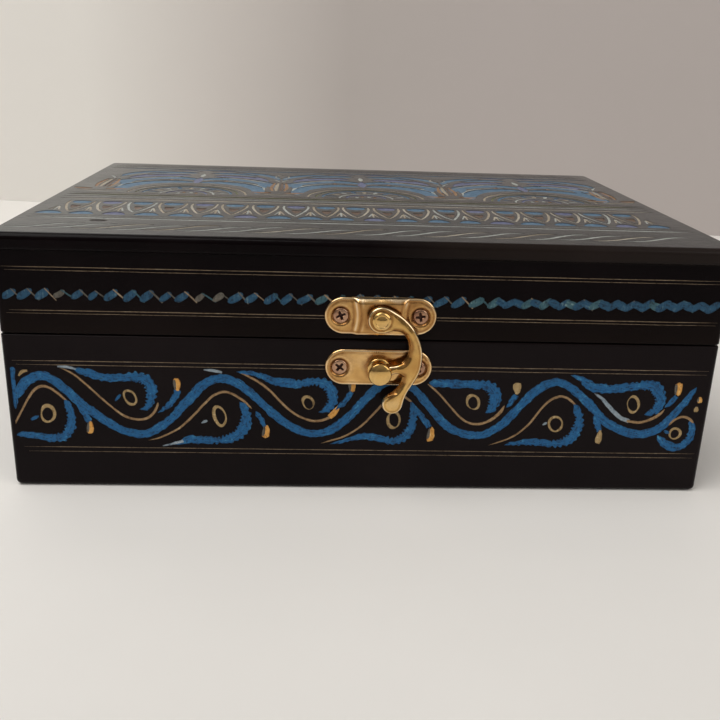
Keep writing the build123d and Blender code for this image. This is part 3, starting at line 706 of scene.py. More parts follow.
    # right end: small spiral
    st("blue", [(81.6, 17.2, .7), (82.8, 15.8, 2.1), (84.8, 14.2, 2.6), (87.2, 13.6, 2.5),
                (89.4, 14.4, 2.6), (90.8, 16.3, 2.7), (91.1, 18.8, 2.3), (90.6, 21.0, 1.6),
                (90.1, 22.2, .8)], 91, taper=(1, 1), comb=(0, 0.45, 0.85, 0.4, 0.8), **B)
    st("gold", [(84.3, 20.1, .5), (85.8, 21.9, 1.0), (88, 22.8, 1.2), (90, 22.1, 1.1),
                (91.2, 20.9, .6)], 92, taper=(.6, .6), **G)
    out.append(("ring", ring(86.4, 17.7, 1.85, 1.95, 0.8, 0, 93)))
    st("blue", [(83.2, 18.6, .5), (84.1, 18.1, 1.1), (84.9, 17.9, .5)], 94, **G)
    out.extend(two_tone(91.9, 27.9, 2.0, 2.0, 0, 95))
    out.append(("cream", drop(91.3, 25.1, 1.9, 1.8, 0, 96)))
    return groups


def rule(y, x0, x1, w, seed, kind="line", bow=0.05, step=1.6, ends=14.0):
    """A long thin ruled line, thinning towards its ends."""
    rng = random.Random(seed)
    n = int((x1 - x0) / 6)
    pts = []
    for i in range(n + 1):
        x = x0 + (x1 - x0) * i / n
        e = min(1.0, 0.35 + min(x - x0, x1 - x) / ends)
        pts.append((x, y + rng.uniform(-bow, bow) * 0.5, w * e * rng.uniform(0.8, 1.15)))
    return (kind, ribbon(pts, seed, step=step, rag=0.015, fine=0.01, taper=(1.5, 1.5)))


def body_lines(half, seed):
    return [rule(36.25, -half + 0.5, half, 0.20, seed),
            rule(35.15, -half + 1.5, half - 0.4, 0.17, seed + 1),
            rule(11.6, -half + 1.5, half, 0.19, seed + 2),
            rule(10.3, -half + 2.5, half - 0.4, 0.17, seed + 3)]


def body_front():
    return scroll_band() + body_lines(93.0, 201)


def body_end():
    return scroll_short() + body_lines(68.0, 231)


def zigzag(x_from=-94, x_to=94):
    """The chip-cut zigzag round the lid: blue chips rising to the right, joined
    by thin falling cuts; towards the right they run together into a wave."""
    out = []
    rng = random.Random(77)
    xs = [-91.7, -87.6, -83.2, -79.0, -74.4, -70.4, -66.0, -61.2, -56.8, -52.2, -48.0,
          -43.4, -38.8, -34.4, -30.2, -25.3, -21.2, -16.6, -12.2, -7.7, -3.2, 1.2, 5.7,
          10.1, 14.4, 18.8, 23.4, 28.0, 32.7, 36.8, 41.6, 46.3, 51.0, 55.5, 59.8, 64.2,
          68.8, 73.3, 77.7, 82.1, 86.7, 91.0]
    xs = [x for x in xs if x_from < x < x_to]
    n = len(xs)

    def jit(a):
        return rng.uniform(-a, a)

    for i, x in enumerate(xs):
        run = min(1.0, max(0.0, (x - 10) / 50))
        hw = 1.85 + 0.25 * run + jit(0.22)
        hh = 1.5 + 0.1 * run + jit(0.16)
        z = 54.2 + jit(0.12)
        pale = x in (-79.0, -43.4, -38.8)
        if pale or x == -70.4:
            hw *= 0.75
            hh *= 0.8
        hh *= 1.04
        poly = [(x - hw - 0.1 + jit(.12), z - hh * 0.80 + jit(.1)),
                (x - hw * 0.45 + jit(.12), z - hh * 1.04 + jit(.1)),
                (x + hw * 0.30 + jit(.14), z - hh * 0.55 + jit(.12)),
                (x + hw * 0.92 + jit(.14), z + hh * 0.04 + jit(.12)),
                (x + hw * 1.02 + jit(.12), z + hh * 0.84 + jit(.1)),
                (x + hw * 0.50 + jit(.12), z + hh * 1.04 + jit(.1)),
                (x - hw * 0.24 + jit(.14), z + hh * 0.55 + jit(.12)),
                (x - hw * 0.88 + jit(.14), z + jit(.12))]
        if run > 0.45:
            poly = [(x + 0.90 * (a - x), z + 0.98 * (b - z)) for a, b in poly]
        mint = x in (-12.2, -7.7, 28.0, 32.7, 41.6, 46.3, 59.8)
        out.append(("link" if pale else "mint" if mint else "chip", chaikin(poly, 2 if run > 0.45 else 1)))
        if i < n - 1:
            x2 = xs[i + 1]
            w = 0.42 + jit(0.10)
            k = ("link", "link", "line", "mint")[i % 4]
            if run < 0.45 or i % 3 == 0:
                out.append((k, ribbon([(x + hw * 0.35, z + hh * 0.98, w * 0.7),
                                       ((x + x2) / 2, z + jit(0.1), w),
                                       (x2 - hw * 0.40, z - hh * 0.98, w * 0.8)], 300 + i,
                                      step=0.35, rag=0.05, fine=0.05)))
            if run > 0.45:
                out.append(("mint" if i % 5 == 2 else "chip",
                            ribbon([(x + hw * 0.35, z + 0.62, 1.25 + 0.45 * run),
                                    ((x + x2) / 2, z + jit(0.1), 1.45 + 0.75 * run),
                                    (x2 - hw * 0.4, z - 0.62, 1.25 + 0.45 * run)],
                                   340 + i, step=0.3, rag=0.12, fine=0.12)))
    return out


def chaikin(p, k):
    for _ in range(k):
        q = []
        for i in range(len(p)):
            a, b = p[i], p[(i + 1) % len(p)]
            q.append((0.75 * a[0] + 0.25 * b[0], 0.75 * a[1] + 0.25 * b[1]))
            q.append((0.25 * a[0] + 0.75 * b[0], 0.25 * a[1] + 0.75 * b[1]))
        p = q
    return p


def lid_wall(half, seed):
    """Zigzag and rules of one side of the lid."""
    out = zigzag(-half + 1.0, half - 1.0)
    out.append(rule(61.3, -half + 0.2, half, 0.18, seed))
    out.append(rule(60.45, -half + 1.0, half - 0.4, 0.15, seed + 1))
    out.append(rule(49.95, -half + 1.2, half, 0.22, seed + 2))
    out.append(rule(49.15, -half + 0.4, half - 0.4, 0.15, seed + 3))
    return out


# -------------------------------------------------------- lid top (x, y')
# y' is measured from the front edge of the box towards the back
def scallops(y0, flip, seed, x_from=-88.5, pitch=9.1, cells=19):
    """A row of hanging arches with a blue strip over them and a small spray
    under each meeting point. flip mirrors the row for the far border."""
    out = []
    rng = random.Random(seed)

    def m(pts):
        return [(x, y0 + (-(y) if flip else y), w) for x, y, w in pts]

    def mp(kind, poly):
        out.append((kind, [(x, y0 + (-y if flip else y)) for x, y in poly]))

    G = dict(step=0.5, rag=0.05, fine=0.03)
    for i in range(cells + 1):
        xj = x_from + pitch * i + rng.uniform(-0.2, 0.2)
        if i < cells:
            xn = x_from + pitch * (i + 1)
            xc = (xj + xn) / 2 + rng.uniform(-0.3, 0.3)
            lo = 1.0 + rng.uniform(-0.3, 0.5)
            k = ("gold", "cream", "pale", "gold", "cream")[i % 5]
            out.append((k, ribbon(m([(xj + 0.9, 18.6, .4), (xj + 0.8, 16, .7), (xj + 1.1, 12.4, .75),
                                     (xj + 2.0, 8.2, .75), (xj + 3.1, 4.4, .75), (xc, lo, .7)]),
                                  seed + i, **G)))
            out.append((k, ribbon(m([(xn - 0.9, 18.6, .4), (xn - 0.8, 16, .7), (xn - 1.1, 12.4, .75),
                                     (xn - 2.0, 8.2, .75), (xn - 3.1, 4.4, .75), (xc, lo, .7)]),
                                  seed + 40 + i, **G)))
            # strip over the arch
            a, b = xj + 1.9, xn - 1.9
            t = 1.0 + rng.uniform(-.2, .2)
            blue = "lilac" if i % 3 == 1 else "blue"
            mp(blue, chaikin([(a, 15.2), (a + 1.0, 14.2), (xc, 13.4), (b - 1.0, 14.2), (b, 15.2),
                              (b + 0.3, 17.6 + .4 * t), (xc, 18.4 + .3 * t), (a - 0.3, 17.6 + .4 * t)], 2))
            mp("brown", chaikin([(xc - 1.7, 11.2), (xc - 1.1, 7.4), (xc, 4.6), (xc + 1.1, 7.4),
                                 (xc + 1.7, 11.2), (xc, 10.2)], 2))
        # spray under the meeting point
        for q in (-1, 0, 1):
            out.append((("pale", "cream", "gold")[(i + q) % 3],
                        ribbon(m([(xj + 0.25 * q, 9.2 - abs(q) * 0.8, .35),
                                  (xj + 0.75 * q, 5.5, .6), (xj + 1.5 * q, 2.2 + abs(q) * 0.4, .45)]),
                               seed + 90 + 3 * i + q, **G)))
        # patch of colour between the arches' feet
        w = 3.7 + rng.uniform(-.3, .3)
        mp("lilac" if i % 4 == 2 else "blue",
           chaikin([(xj - w, -3.6), (xj + w, -3.7), (xj + w * 0.85, -1.6), (xj + w * .45, 0.5),
                    (xj, 1.0), (xj - w * .45, 0.5), (xj - w * 0.85, -1.6)], 2))
    return out


def rope(y0, seed, x_from=-92.0, pitch=9.0, n=20):
    """A row of long slanted S cuts, each lying over the next one's foot."""
    out = []
    rng = random.Random(seed)
    for i in range(n):
        x = x_from + pitch * i + rng.uniform(-.5, .5)
        y = y0 + rng.uniform(-.25, .25)
        k = ("pale", "pale", "cream", "pale", "gold")[i % 5]
        if x + 16.5 > 93:
            break
        s = 1.0 + rng.uniform(-.12, .12)
        out.append((k, ribbon([(x - 3.0, y + 0.1, .45), (x + 0.6, y - 0.3, .95), (x + 4.2, y + 0.9, 1.15),
                               (x + 8.0, y + 3.4 * s, 1.2), (x + 11.4, y + 5.6 * s, 1.1),
                               (x + 14.4, y + 6.5 * s, .95), (x + 17.0, y + 6.3 * s, .45)],
                              seed + i, step=0.6, rag=0.09, fine=0.07)))
    return out


def leaf(x, y, ang, length, wid, seed, bend=0.0):
    """A pointed brush leaf starting at (x, y) and leaning to angle ang."""
    a = math.radians(ang)
    pts = []
    for i in range(7):
        t = i / 6
        off = bend * math.sin(math.pi * t * 0.5) * t
        px = x + math.cos(a) * length * t - math.sin(a) * off
        py = y + math.sin(a) * length * t + math.cos(a) * off
        pts.append((px, py, max(0.35, wid * math.sin(math.pi * (0.12 + 0.82 * t)))))
    return ribbon(pts, seed, step=0.5, rag=0.12, fine=0.08, taper=(0.8, 0.8))


def lunette(cx, y0, seed, side=0):
    """A half round flower: tan ribs on a base, blue leaves fanning above it."""
    out = []
    rng = random.Random(seed)
    G = dict(step=0.6, rag=0.05, fine=0.03)

    def arc(r, rx, a0, a1, w, kind, s):
        pts = []
        for i in range(15):
            a = math.radians(a0 + (a1 - a0) * i / 14)
            pts.append((cx + rx * math.cos(a), y0 + r * math.sin(a),
                        w * (0.5 + 0.5 * math.sin(math.pi * i / 14))))
        out.append((kind, ribbon(pts, s, **G)))

    def keep(a):
        return side == 0 or (side < 0 and a <= 92) or (side > 0 and a >= 88)

    lo, hi = (0, 180) if side == 0 else ((0, 90) if side < 0 else (90, 180))
    arc(20.5, 19.0, lo + 3, hi - 3, 1.3, "gold", seed)
    arc(17.5, 16.4, lo + 3, hi - 3, 1.2, "olive", seed + 1)
    arc(15.2, 14.3, lo + 5, hi - 5, 1.7, "blue", seed + 3)
    arc(9.2, 8.7, lo, hi, 1.2, "pale", seed + 2)
    arc(6.8, 6.4, lo + 4, hi - 4, 1.5, "lilac", seed + 4)
    for i in range(9):
        a = 18 + 18 * i
        if not keep(a):
            continue
        ca, sa = math.cos(math.radians(a)), math.sin(math.radians(a))
        out.append((("pale", "gold", "blue")[i % 3],
                    ribbon([(cx + 9.8 * ca, y0 + 10.4 * sa, .6), (cx + 11.8 * ca, y0 + 12.4 * sa, 1.5),
                            (cx + 13.6 * ca, y0 + 14.3 * sa, .8)], seed + 5 + i, **G)))
    for i in range(4):
        a = 36 + 36 * i
        if not keep(a):
            continue
        ca, sa = math.cos(math.radians(a)), math.sin(math.radians(a))
        out.append((("orange", "pale")[i % 2], drop(cx + 3.6 * ca, y0 + 3.6 * sa, 1.7, 2.6, 0, seed + 20 + i)))
    # combed blue scrolls climbing over the flower from both sides
    for k, sg in enumerate((-1, 1)):
        if side and sg == side:
            continue

        def sc(pts, s2, comb=None):
            q = [(cx + sg * x, y0 + y, 1.28 * w if w > 1.3 else w) for x, y, w in pts]
            return ribbon(q, seed + 30 + 10 * k + s2, step=0.45, rag=0.16, fine=0.1,
                          taper=(2.5, 1.5), comb=comb)

        edge = 1 if sg > 0 else 0
        out.append(("blue", sc([(22.2, 4, 1.6), (22.6, 9, 3.4), (21.0, 16, 4.4), (16.8, 22.4, 4.8),
                                (10.4, 26.2, 4.6), (4.6, 26.8, 3.6), (1.2, 25.2, 1.6)], 0,
                               comb=(edge, 0.25, 0.95, 0.7, 1.0))))
        out.append(("blue", sc([(27.5, 17, 1.2), (26.6, 22.5, 3.4), (22.4, 29.4, 4.6), (15.8, 34.4, 5.0),
                                (8.6, 36.2, 4.8), (3.2, 34.4, 3.6), (2.2, 31.6, 1.4)], 1,
                               comb=(edge, 0.2, 0.95, 0.8, 1.0))))
        out.append(("lilac", sc([(24.8, 33.5, 1.0), (21.0, 38.2, 3.2), (14.6, 42.0, 4.0),
                                 (8.0, 43.4, 3.4), (4.0, 42.2, 1.2)], 2,
                                comb=(edge, 0.2, 0.9, 0.6, 1.0))))
        out.append(("blue", sc([(20.5, 45.5, 0.8), (15.0, 48.4, 2.6), (8.0, 50.2, 3.2),
                                (2.0, 50.0, 1.2)], 3)))
        out.append(("blue", sc([(28.4, 36.5, 0.8), (26.6, 43.0, 2.4), (22.6, 48.6, 2.8),
                                (17.0, 52.4, 2.4), (11.0, 54.4, 1.0)], 6)))
        out.append(("lilac", sc([(12.0, 56.6, 0.6), (6.4, 56.2, 1.6), (1.2, 54.6, 0.8)], 7)))
        out.append(("pale", sc([(24.4, 12, .5), (23.2, 19.4, 1.1), (18.6, 26.4, 1.2), (11.4, 30.6, 1.1),
                                (5.2, 31.0, .6)], 4)))
        out.append(("gold", sc([(25.4, 28, .5), (20.0, 33.6, 1.0), (13.4, 38.4, 1.1), (6.4, 39.6, .8)], 5)))
        out.append(("orange", drop(cx + sg * 9.6, y0 + 31.6, 2.2, 3.2, 0, seed + 77 + k)))
    if side == 0:
        out.append(("lilac", leaf(cx, y0 + 24.0, 90, 14.0, 3.0, seed + 90)))
        out.append(("pale", leaf(cx, y0 + 39.5, 90, 9.0, 1.8, seed + 91)))
    return out


def vase(cx, y0, seed, side=0):
    """A fluted vase with a wide foot and a small ring over a V-shaped spray."""
    out = []
    G = dict(step=0.6, rag=0.05, fine=0.03)

    def add(kind, pts, s):
        out.append((kind, ribbon(pts, seed + s, **G)))

    add("cream", [(cx - 6.4, y0 + 5.0, .6), (cx - 2.5, y0 + 3.4, 1.3), (cx + 2.5, y0 + 3.4, 1.3), (cx + 6.4, y0 + 5.0, .6)], 1)
    add("orange", [(cx - 8.6, y0 + 8.6, 1.0), (cx - 5.4, y0 + 7.4, 2.6), (cx - 2.2, y0 + 7.0, 1.6)], 3)
    add("orange", [(cx + 8.6, y0 + 8.6, 1.0), (cx + 5.4, y0 + 7.4, 2.6), (cx + 2.2, y0 + 7.0, 1.6)], 4)
    for k, f in enumerate((-2.3, -0.8, 0.8, 2.3)):
        add(("orange", "gold", "brown", "orange")[k],
            [(cx + f * 0.85, y0 + 11, .8), (cx + f * 1.15, y0 + 18, 1.25),
             (cx + f * 1.0, y0 + 25, 1.1), (cx + f * 0.8, y0 + 30, .6)], 5 + k)
    add("pale", [(cx - 3.2, y0 + 39, .4), (cx - 1.6, y0 + 36, .8), (cx - 0.2, y0 + 32.6, .8)], 10)
    add("pale", [(cx + 3.2, y0 + 39, .4), (cx + 1.6, y0 + 36, .8), (cx + 0.2, y0 + 32.6, .8)], 11)
    if not side:
        out.append(("ring", ring(cx, y0 + 46, 2.9, 4.4, 0.9, 0, seed + 12)))
    # blue leaves at both sides of the neck, and a pair over them
    for k, (dx, dy, a, ln) in enumerate(((4.6, 18, 76, 13), (-4.6, 18, 104, 13),
                                         (4.4, 33, 64, 12), (-4.4, 33, 116, 12))):
        if side and dx * side > 0:
            continue
        out.append((("blue", "blue", "lilac", "lilac")[k], leaf(cx + dx, y0 + dy, a, ln, 2.8, seed + 20 + k)))
    return out


def lid_top():
    out = rope(7.2, 500)
    out.append(rule(21.6, -92.5, 92.5, 1.35, 521, kind="pale"))
    out.append(rule(24.6, -92.5, 92.5, 0.8, 522, kind="pale"))
    out += scallops(30.4, False, 600)
    out.append(rule(53.6, -92.5, 92.5, 1.5, 523, kind="cream"))
    out.append(rule(57.6, -92.5, 92.5, 1.3, 524, kind="pale"))
    out.append(rule(61.6, -92.5, 92.5, 1.7, 525, kind="olive"))
    out.append(rule(64.6, -92.5, 92.5, 1.0, 526, kind="gold"))
    for k, cx in enumerate((-56.0, 2.0, 60.0)):
        out += lunette(cx, 66.5, 700 + 100 * k)
    out += vase(-27.0, 66.5, 1100)
    out += vase(31.0, 66.5, 1150)
    out += vase(-85.2, 66.5, 1200, side=-1)
    out += vase(86.0, 66.5, 1250, side=1)
    out.append(rule(125.2, -92.5, 92.5, 1.7, 527, kind="blue"))
    out.append(rule(128.6, -92.5, 92.5, 1.0, 528, kind="pale"))
    out.append(rule(131.6, -92.5, 92.5, 1.1, 530, kind="lilac"))
    out.append(rule(134.8, -92.5, 92.5, 0.8, 529, kind="gold"))
    # a small knock in the lacquer near the front left corner
    out.append(("orange", Outline([(-74.6, 17.0), (-72.8, 16.7), (-70.9, 17.0), (-69.9, 17.5),
                                   (-71.4, 17.7), (-73.4, 17.6)])))
    out.append(("wall", Outline([(-74.9, 17.9), (-73.2, 17.3), (-71.0, 17.5), (-69.6, 18.1),
                                 (-70.8, 18.9), (-72.6, 19.2), (-74.3, 18.8)])))
    return out


# ----------------------------------------------- boards with their cut pattern
def link_object(name, mesh):
    o = bpy.data.objects.new(name, mesh)
    bpy.context.scene.collection.objects.link(o)
    return o


def inside(px, py, poly):
    """Which of the points are inside the polygon (numpy, crossing count)."""
    x = np.array([p[0] for p in poly])
    y = np.array([p[1] for p in poly])
    x2, y2 = np.roll(x, -1), np.roll(y, -1)
    hit = np.zeros(len(px), bool)
    box = (px >= x.min()) & (px <= x.max()) & (py >= y.min()) & (py <= y.max())
    idx = np.nonzero(box)[0]
    for part in np.array_split(idx, max(1, len(idx) * len(x) // 2000000 + 1)):
        if not len(part):
            continue
        a, b = px[part][:, None], py[part][:, None]
        up = (y[None] > b) != (y2[None] > b)
        with np.errstate(divide="ignore", invalid="ignore"):
            xc = (x2 - x)[None] * (b - y[None]) / (y2 - y)[None] + x[None]
        hit[part] = (np.sum(up & (a < xc), 1) % 2) == 1
    return hit


def along(outline, a, b):
    """Where points (a, b) lie along and across the stroke, in millimetres."""
    path = getattr(outline, "path", None)
    if not path:
        cx = sum(p[0] for p in outline) / len(outline)
        cy = sum(p[1] for p in outline) / len(outline)
        return b - cy, a - cx
    x = np.array([p[0] for p in path])
    y = np.array([p[1] for p in path])
    tx, ty = np.gradient(x), np.gradient(y)
    ln = np.hypot(tx, ty)
    tx, ty = tx / ln, ty / ln
    run = np.concatenate([[0], np.cumsum(np.hypot(np.diff(x), np.diff(y)))])
    s = np.empty(len(a))
    t = np.empty(len(a))
    for part in np.array_split(np.arange(len(a)), max(1, len(a) * len(x) // 2000000 + 1)):
        if not len(part):
            continue
        d = (a[part][:, None] - x) ** 2 + (b[part][:, None] - y) ** 2
        k = d.argmin(1)
        ex, ey = a[part] - x[k], b[part] - y[k]
        s[part] = run[k] + ex * tx[k] + ey * ty[k]
        t[part] = -ex * ty[k] + ey * tx[k]
    return s, t


DEPTH = {"line": 0.05, "pale": 0.09, "gold": 0.10, "cream": 0.10, "ring": 0.10}


def engrave(node_name, normal, right, up, items, limit=None, skin="lacquer"):
    """Rebuilds a board's mesh with the strokes in items cut into its outer face.
    right and up are the directions of the strokes' two numbers, seen from
    outside; everything else of the board stays as it is."""
    src = NODES[node_name].data
    n, u, v = Vector(normal), Vector(right), Vector(up)
    co = [w.co.copy() for w in src.vertices]
    face_at = max(n.dot(c) for c in co)
    flat = [abs(n.dot(c) - face_at) < 3e-6 for c in co]

    verts, index = [], {}

    def vid(p):
        k = (round(p[0] * 2e6), round(p[1] * 2e6), round(p[2] * 2e6))
        if k not in index:
            index[k] = len(verts)
            verts.append(tuple(p))
        return index[k]

    faces, mats, normals, cuts = [], [], [], []
    corner = src.corner_normals
    open_edges = {}
    for p in src.polygons:
        ids = [vid(co[i]) for i in p.vertices]
        if all(flat[i] for i in p.vertices):
            for a, b in zip(ids, ids[1:] + ids[:1]):
                if (b, a) in open_edges:
                    del open_edges[(b, a)]
                else:
                    open_edges[(a, b)] = True
            continue
        if len(set(ids)) < 3:
            continue
        faces.append(ids)
        mats.append("lacquer")
        normals.append([tuple(corner[i].vector) for i in p.loop_indices])
        cuts.append(None)

    step = {a: b for a, b in open_edges}
    loops = []
    while step:
        start, b = next(iter(step.items()))
        loop = [start]
        del step[start]
        while b != start:
            loop.append(b)
            b = step.pop(b)
        loops.append(loop)

    def flat_xy(i):
        p = Vector(verts[i])
        return (u.dot(p) / MM, v.dot(p) / MM)

    points, edges, keep = [], [], []
    loop_xy = []
    for loop in loops:
        base = len(points)
        xy = [flat_xy(i) for i in loop]
        loop_xy.append(xy)
        points += xy
        keep += loop
        k = len(loop)
        edges += [(base + i, base + (i + 1) % k) for i in range(k)]

    def clamp(poly):
        if not limit:
            return poly
        x0, x1, y0, y1 = limit
        out = Outline((min(max(x, x0), x1), min(max(y, y0), y1)) for x, y in poly)
        out.path = getattr(poly, "path", None)
        return out

    shapes = []
    for kind, poly in items:
        outer = [clamp(q) for q in poly] if kind.endswith("ring") else [clamp(poly)]
        shapes.append((kind, outer))
        for q in outer:
            base = len(points)
            k = len(q)
            points += [tuple(c) for c in q]
            keep += [None] * k
            edges += [(base + i, base + (i + 1) % k) for i in range(k)]

    vs, _, tris, ids, _, _ = delaunay_2d_cdt([Vector(p) for p in points], edges, [], 0, 1e-5, True)
    px = np.array([p[0] for p in vs])
    py = np.array([p[1] for p in vs])
    tri = np.array([list(t) for t in tris if len(t) == 3], int)
    cx, cy = px[tri].mean(1), py[tri].mean(1)
    areas = [abs(sum(a[0] * b[1] - b[0] * a[1] for a, b in zip(q, q[1:] + q[:1]))) for q in loop_xy]
    main = areas.index(max(areas))
    on_board = inside(cx, cy, loop_xy[main])
    for k, q in enumerate(loop_xy):
        if k != main:
            on_board &= ~inside(cx, cy, q)
    owner = np.full(len(tri), -1)
    for k, (kind, outer) in enumerate(shapes):
        hit = inside(cx, cy, outer[0])
        if len(outer) > 1:
            hit &= ~inside(cx, cy, outer[1])
        owner[hit] = k
    depth_of = np.array([DEPTH.get(kind.replace("t_", ""), 0.12) for kind, _ in shapes] + [0.0])
    level = depth_of[owner]

    held = {}
    for i, src_ids in enumerate(ids):
        real = [keep[j] for j in src_ids if keep[j] is not None]
        if real:
            held[i] = real[0]

    spot = {}

    def at(i, d):
        if (i, d) not in spot:
            if d == 0.0 and i in held:
                spot[(i, d)] = held[i]
            else:
                p = n * (face_at - d * MM) + u * (px[i] * MM) + v * (py[i] * MM)
                spot[(i, d)] = len(verts)
                verts.append(tuple(p))
        return spot[(i, d)]

    st = np.zeros((len(tri), 3, 3))
    for k, (kind, outer) in enumerate(shapes):
        mine = np.nonzero((owner == k) & on_board)[0]
        if len(mine):
            flat_ids = tri[mine].ravel()
            s, t = along(outer[0], px[flat_ids], py[flat_ids])
            st[mine, :, 0] = s.reshape(-1, 3)
            st[mine, :, 1] = t.reshape(-1, 3)
            st[mine, :, 2] = (k * 0.6180339 % 1.0) * 10.0

    up_n = tuple(n)
    side_of = {}
    for f in np.nonzero(on_board)[0]:
        a, b, c = (int(i) for i in tri[f])
        if (px[b] - px[a]) * (py[c] - py[a]) - (px[c] - px[a]) * (py[b] - py[a]) < 0:
            b, c = c, b
            st[f, [1, 2]] = st[f, [2, 1]]
        d = float(level[f])
        ids3 = [at(a, d), at(b, d), at(c, d)]
        if len(set(ids3)) < 3:
            continue
        faces.append(ids3)
        mats.append(shapes[owner[f]][0] if owner[f] >= 0 else skin)
        normals.append([up_n] * 3)
        cuts.append(st[f].tolist() if owner[f] >= 0 else None)
        for i, j in ((a, b), (b, c), (c, a)):
            side_of[(i, j)] = d
    for (i, j), d in list(side_of.items()):
        other = side_of.get((j, i))
        if other is not None and other > d:
            quad = [at(i, other), at(j, other), at(j, d), at(i, d)]
            if len(set(quad)) < 4:
                continue
            faces.append(quad)
            mats.append("wall")
            w = (Vector(verts[quad[1]]) - Vector(verts[quad[0]])).cross(n)
            w = w.normalized() if w.length > 0 else n
            normals.append([tuple(w)] * 4)
            cuts.append(None)

    mesh = bpy.data.meshes.new(node_name + "_cut")
    mesh.from_pydata(verts, [], faces, shade_flat=False)
    order = []
    for m in mats:
        if m not in order:
            order.append(m)
    slots = {}
    for m in order:
        mesh.materials.append(MAT[m])
        slots[m] = len(mesh.materials) - 1
    mesh.polygons.foreach_set("material_index", [slots[m] for m in mats])
    attr = mesh.attributes.new("cut", "FLOAT_VECTOR", "CORNER")
    values = []
    for f, c in zip(faces, cuts):
        if c is None:
            values += [0.0, 0.0, 0.0] * len(f)
        else:
            for q in c:
                values += q
    attr.data.foreach_set("vector", values)
    mesh.normals_split_custom_set([m for ns in normals for m in ns])
    bad = mesh.validate(verbose=False)
    if bad:
        print("board", node_name, "needed validation")
    o = link_object(node_name + "_engraved", mesh)
    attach(o, BODY_OF[node_name])
    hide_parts(node_name)
    return o


FRONT = ((0, -1, 0), (1, 0, 0), (0, 0, 1))
BACK = ((0, 1, 0), (-1, 0, 0), (0, 0, 1))
LEFT = ((-1, 0, 0), (0, -1, 0), (0, 0, 1))
RIGHT = ((1, 0, 0), (0, 1, 0), (0, 0, 1))
TOP = ((0, 0, 1), (1, 0, 0), (0, 1, 0))


def shifted(items, dy):
    out = []

    def go(q):
        r = Outline((x, y + dy) for x, y in q)
        if getattr(q, "path", None):
            r.path = [(x, y + dy) for x, y in q.path]
        return r

    for kind, q in items:
        out.append((kind, tuple(go(k) for k in q) if kind.endswith("ring") else go(q)))
    return out


def thin(items):
    """The same cuts in the lid top's paler colours, which carry a painted reflection."""
    return [(kind if kind == "wall" else "t_" + kind, q) for kind, q in items]


WIDE = (-93.25, 93.25, 0.0, 70.0)
SHORT = (-68.25, 68.25, 0.0, 70.0)
engrave("body_front_board", *FRONT, body_front(), WIDE)
engrave("lid_front_board", *FRONT, lid_wall(93.0, 211), WIDE)
engrave("body_back_board", *BACK, body_front(), WIDE)
engrave("lid_back_board", *BACK, lid_wall(93.0, 251), WIDE)
engrave("body_left_board", *LEFT, body_end(), SHORT)
engrave("body_right_board", *RIGHT, body_end(), SHORT)
engrave("lid_left_board", *LEFT, lid_wall(68.0, 261), SHORT)
engrave("lid_right_board", *RIGHT, lid_wall(68.0, 271), SHORT)
engrave("lid_top_panel", *TOP, thin(shifted(lid_top(), -70.0)), (-93.5, 93.5, -69.0, 69.0), "t_lacquer")


# -------------------------------------------------------------------- latch
LATCH_X, PIVOT_Z, STUD_Z, FRONT_Y = 3.2, 50.2, 36.0, -70.0
HOOK_BACK, HOOK_FRONT = 3.25, 4.75


def on(c, r, deg):
    return (c[0] + r * math.cos(math.radians(deg)), c[1] + r * math.sin(math.radians(deg)))


def sweep(c, r, a0, a1, step=0.28):
    k = max(3, int(abs(math.radians(a1 - a0)) * r / step) + 1)
    return [on(c, r, a0 + (a1 - a0) * i / k) for i in range(k + 1)]


def through(points, t0, t1, step=0.28):
    """Smooth curve through points with given end directions."""
    pts = [Vector(p) for p in points]
    n = len(pts)
    tan = []
    for i in range(n):
        if i == 0:
            tan.append(Vector(t0).normalized() * (pts[1] - pts[0]).length)
        elif i == n - 1:
            tan.append(Vector(t1).normalized() * (pts[-1] - pts[-2]).length)
        else:
            a, b = (pts[i] - pts[i - 1]).length, (pts[i + 1] - pts[i]).length
            d = ((pts[i] - pts[i - 1]) / a * b + (pts[i + 1] - pts[i]) / b * a) / (a + b)
            tan.append(d)
    out = []
    for i in range(n - 1):
        ln = (pts[i + 1] - pts[i]).length
        m0 = tan[i] * (1.0 if i == 0 else ln)
        m1 = tan[i + 1] * (1.0 if i == n - 2 else ln)
        k = max(2, int(ln / step + 0.5))
        for j in range(k):
            t = j / k
            h = (2 * t ** 3 - 3 * t ** 2 + 1, t ** 3 - 2 * t ** 2 + t,
                 -2 * t ** 3 + 3 * t ** 2, t ** 3 - t ** 2)
            p = pts[i] * h[0] + m0 * h[1] + pts[i + 1] * h[2] + m1 * h[3]
            out.append((p.x, p.y))
    return out


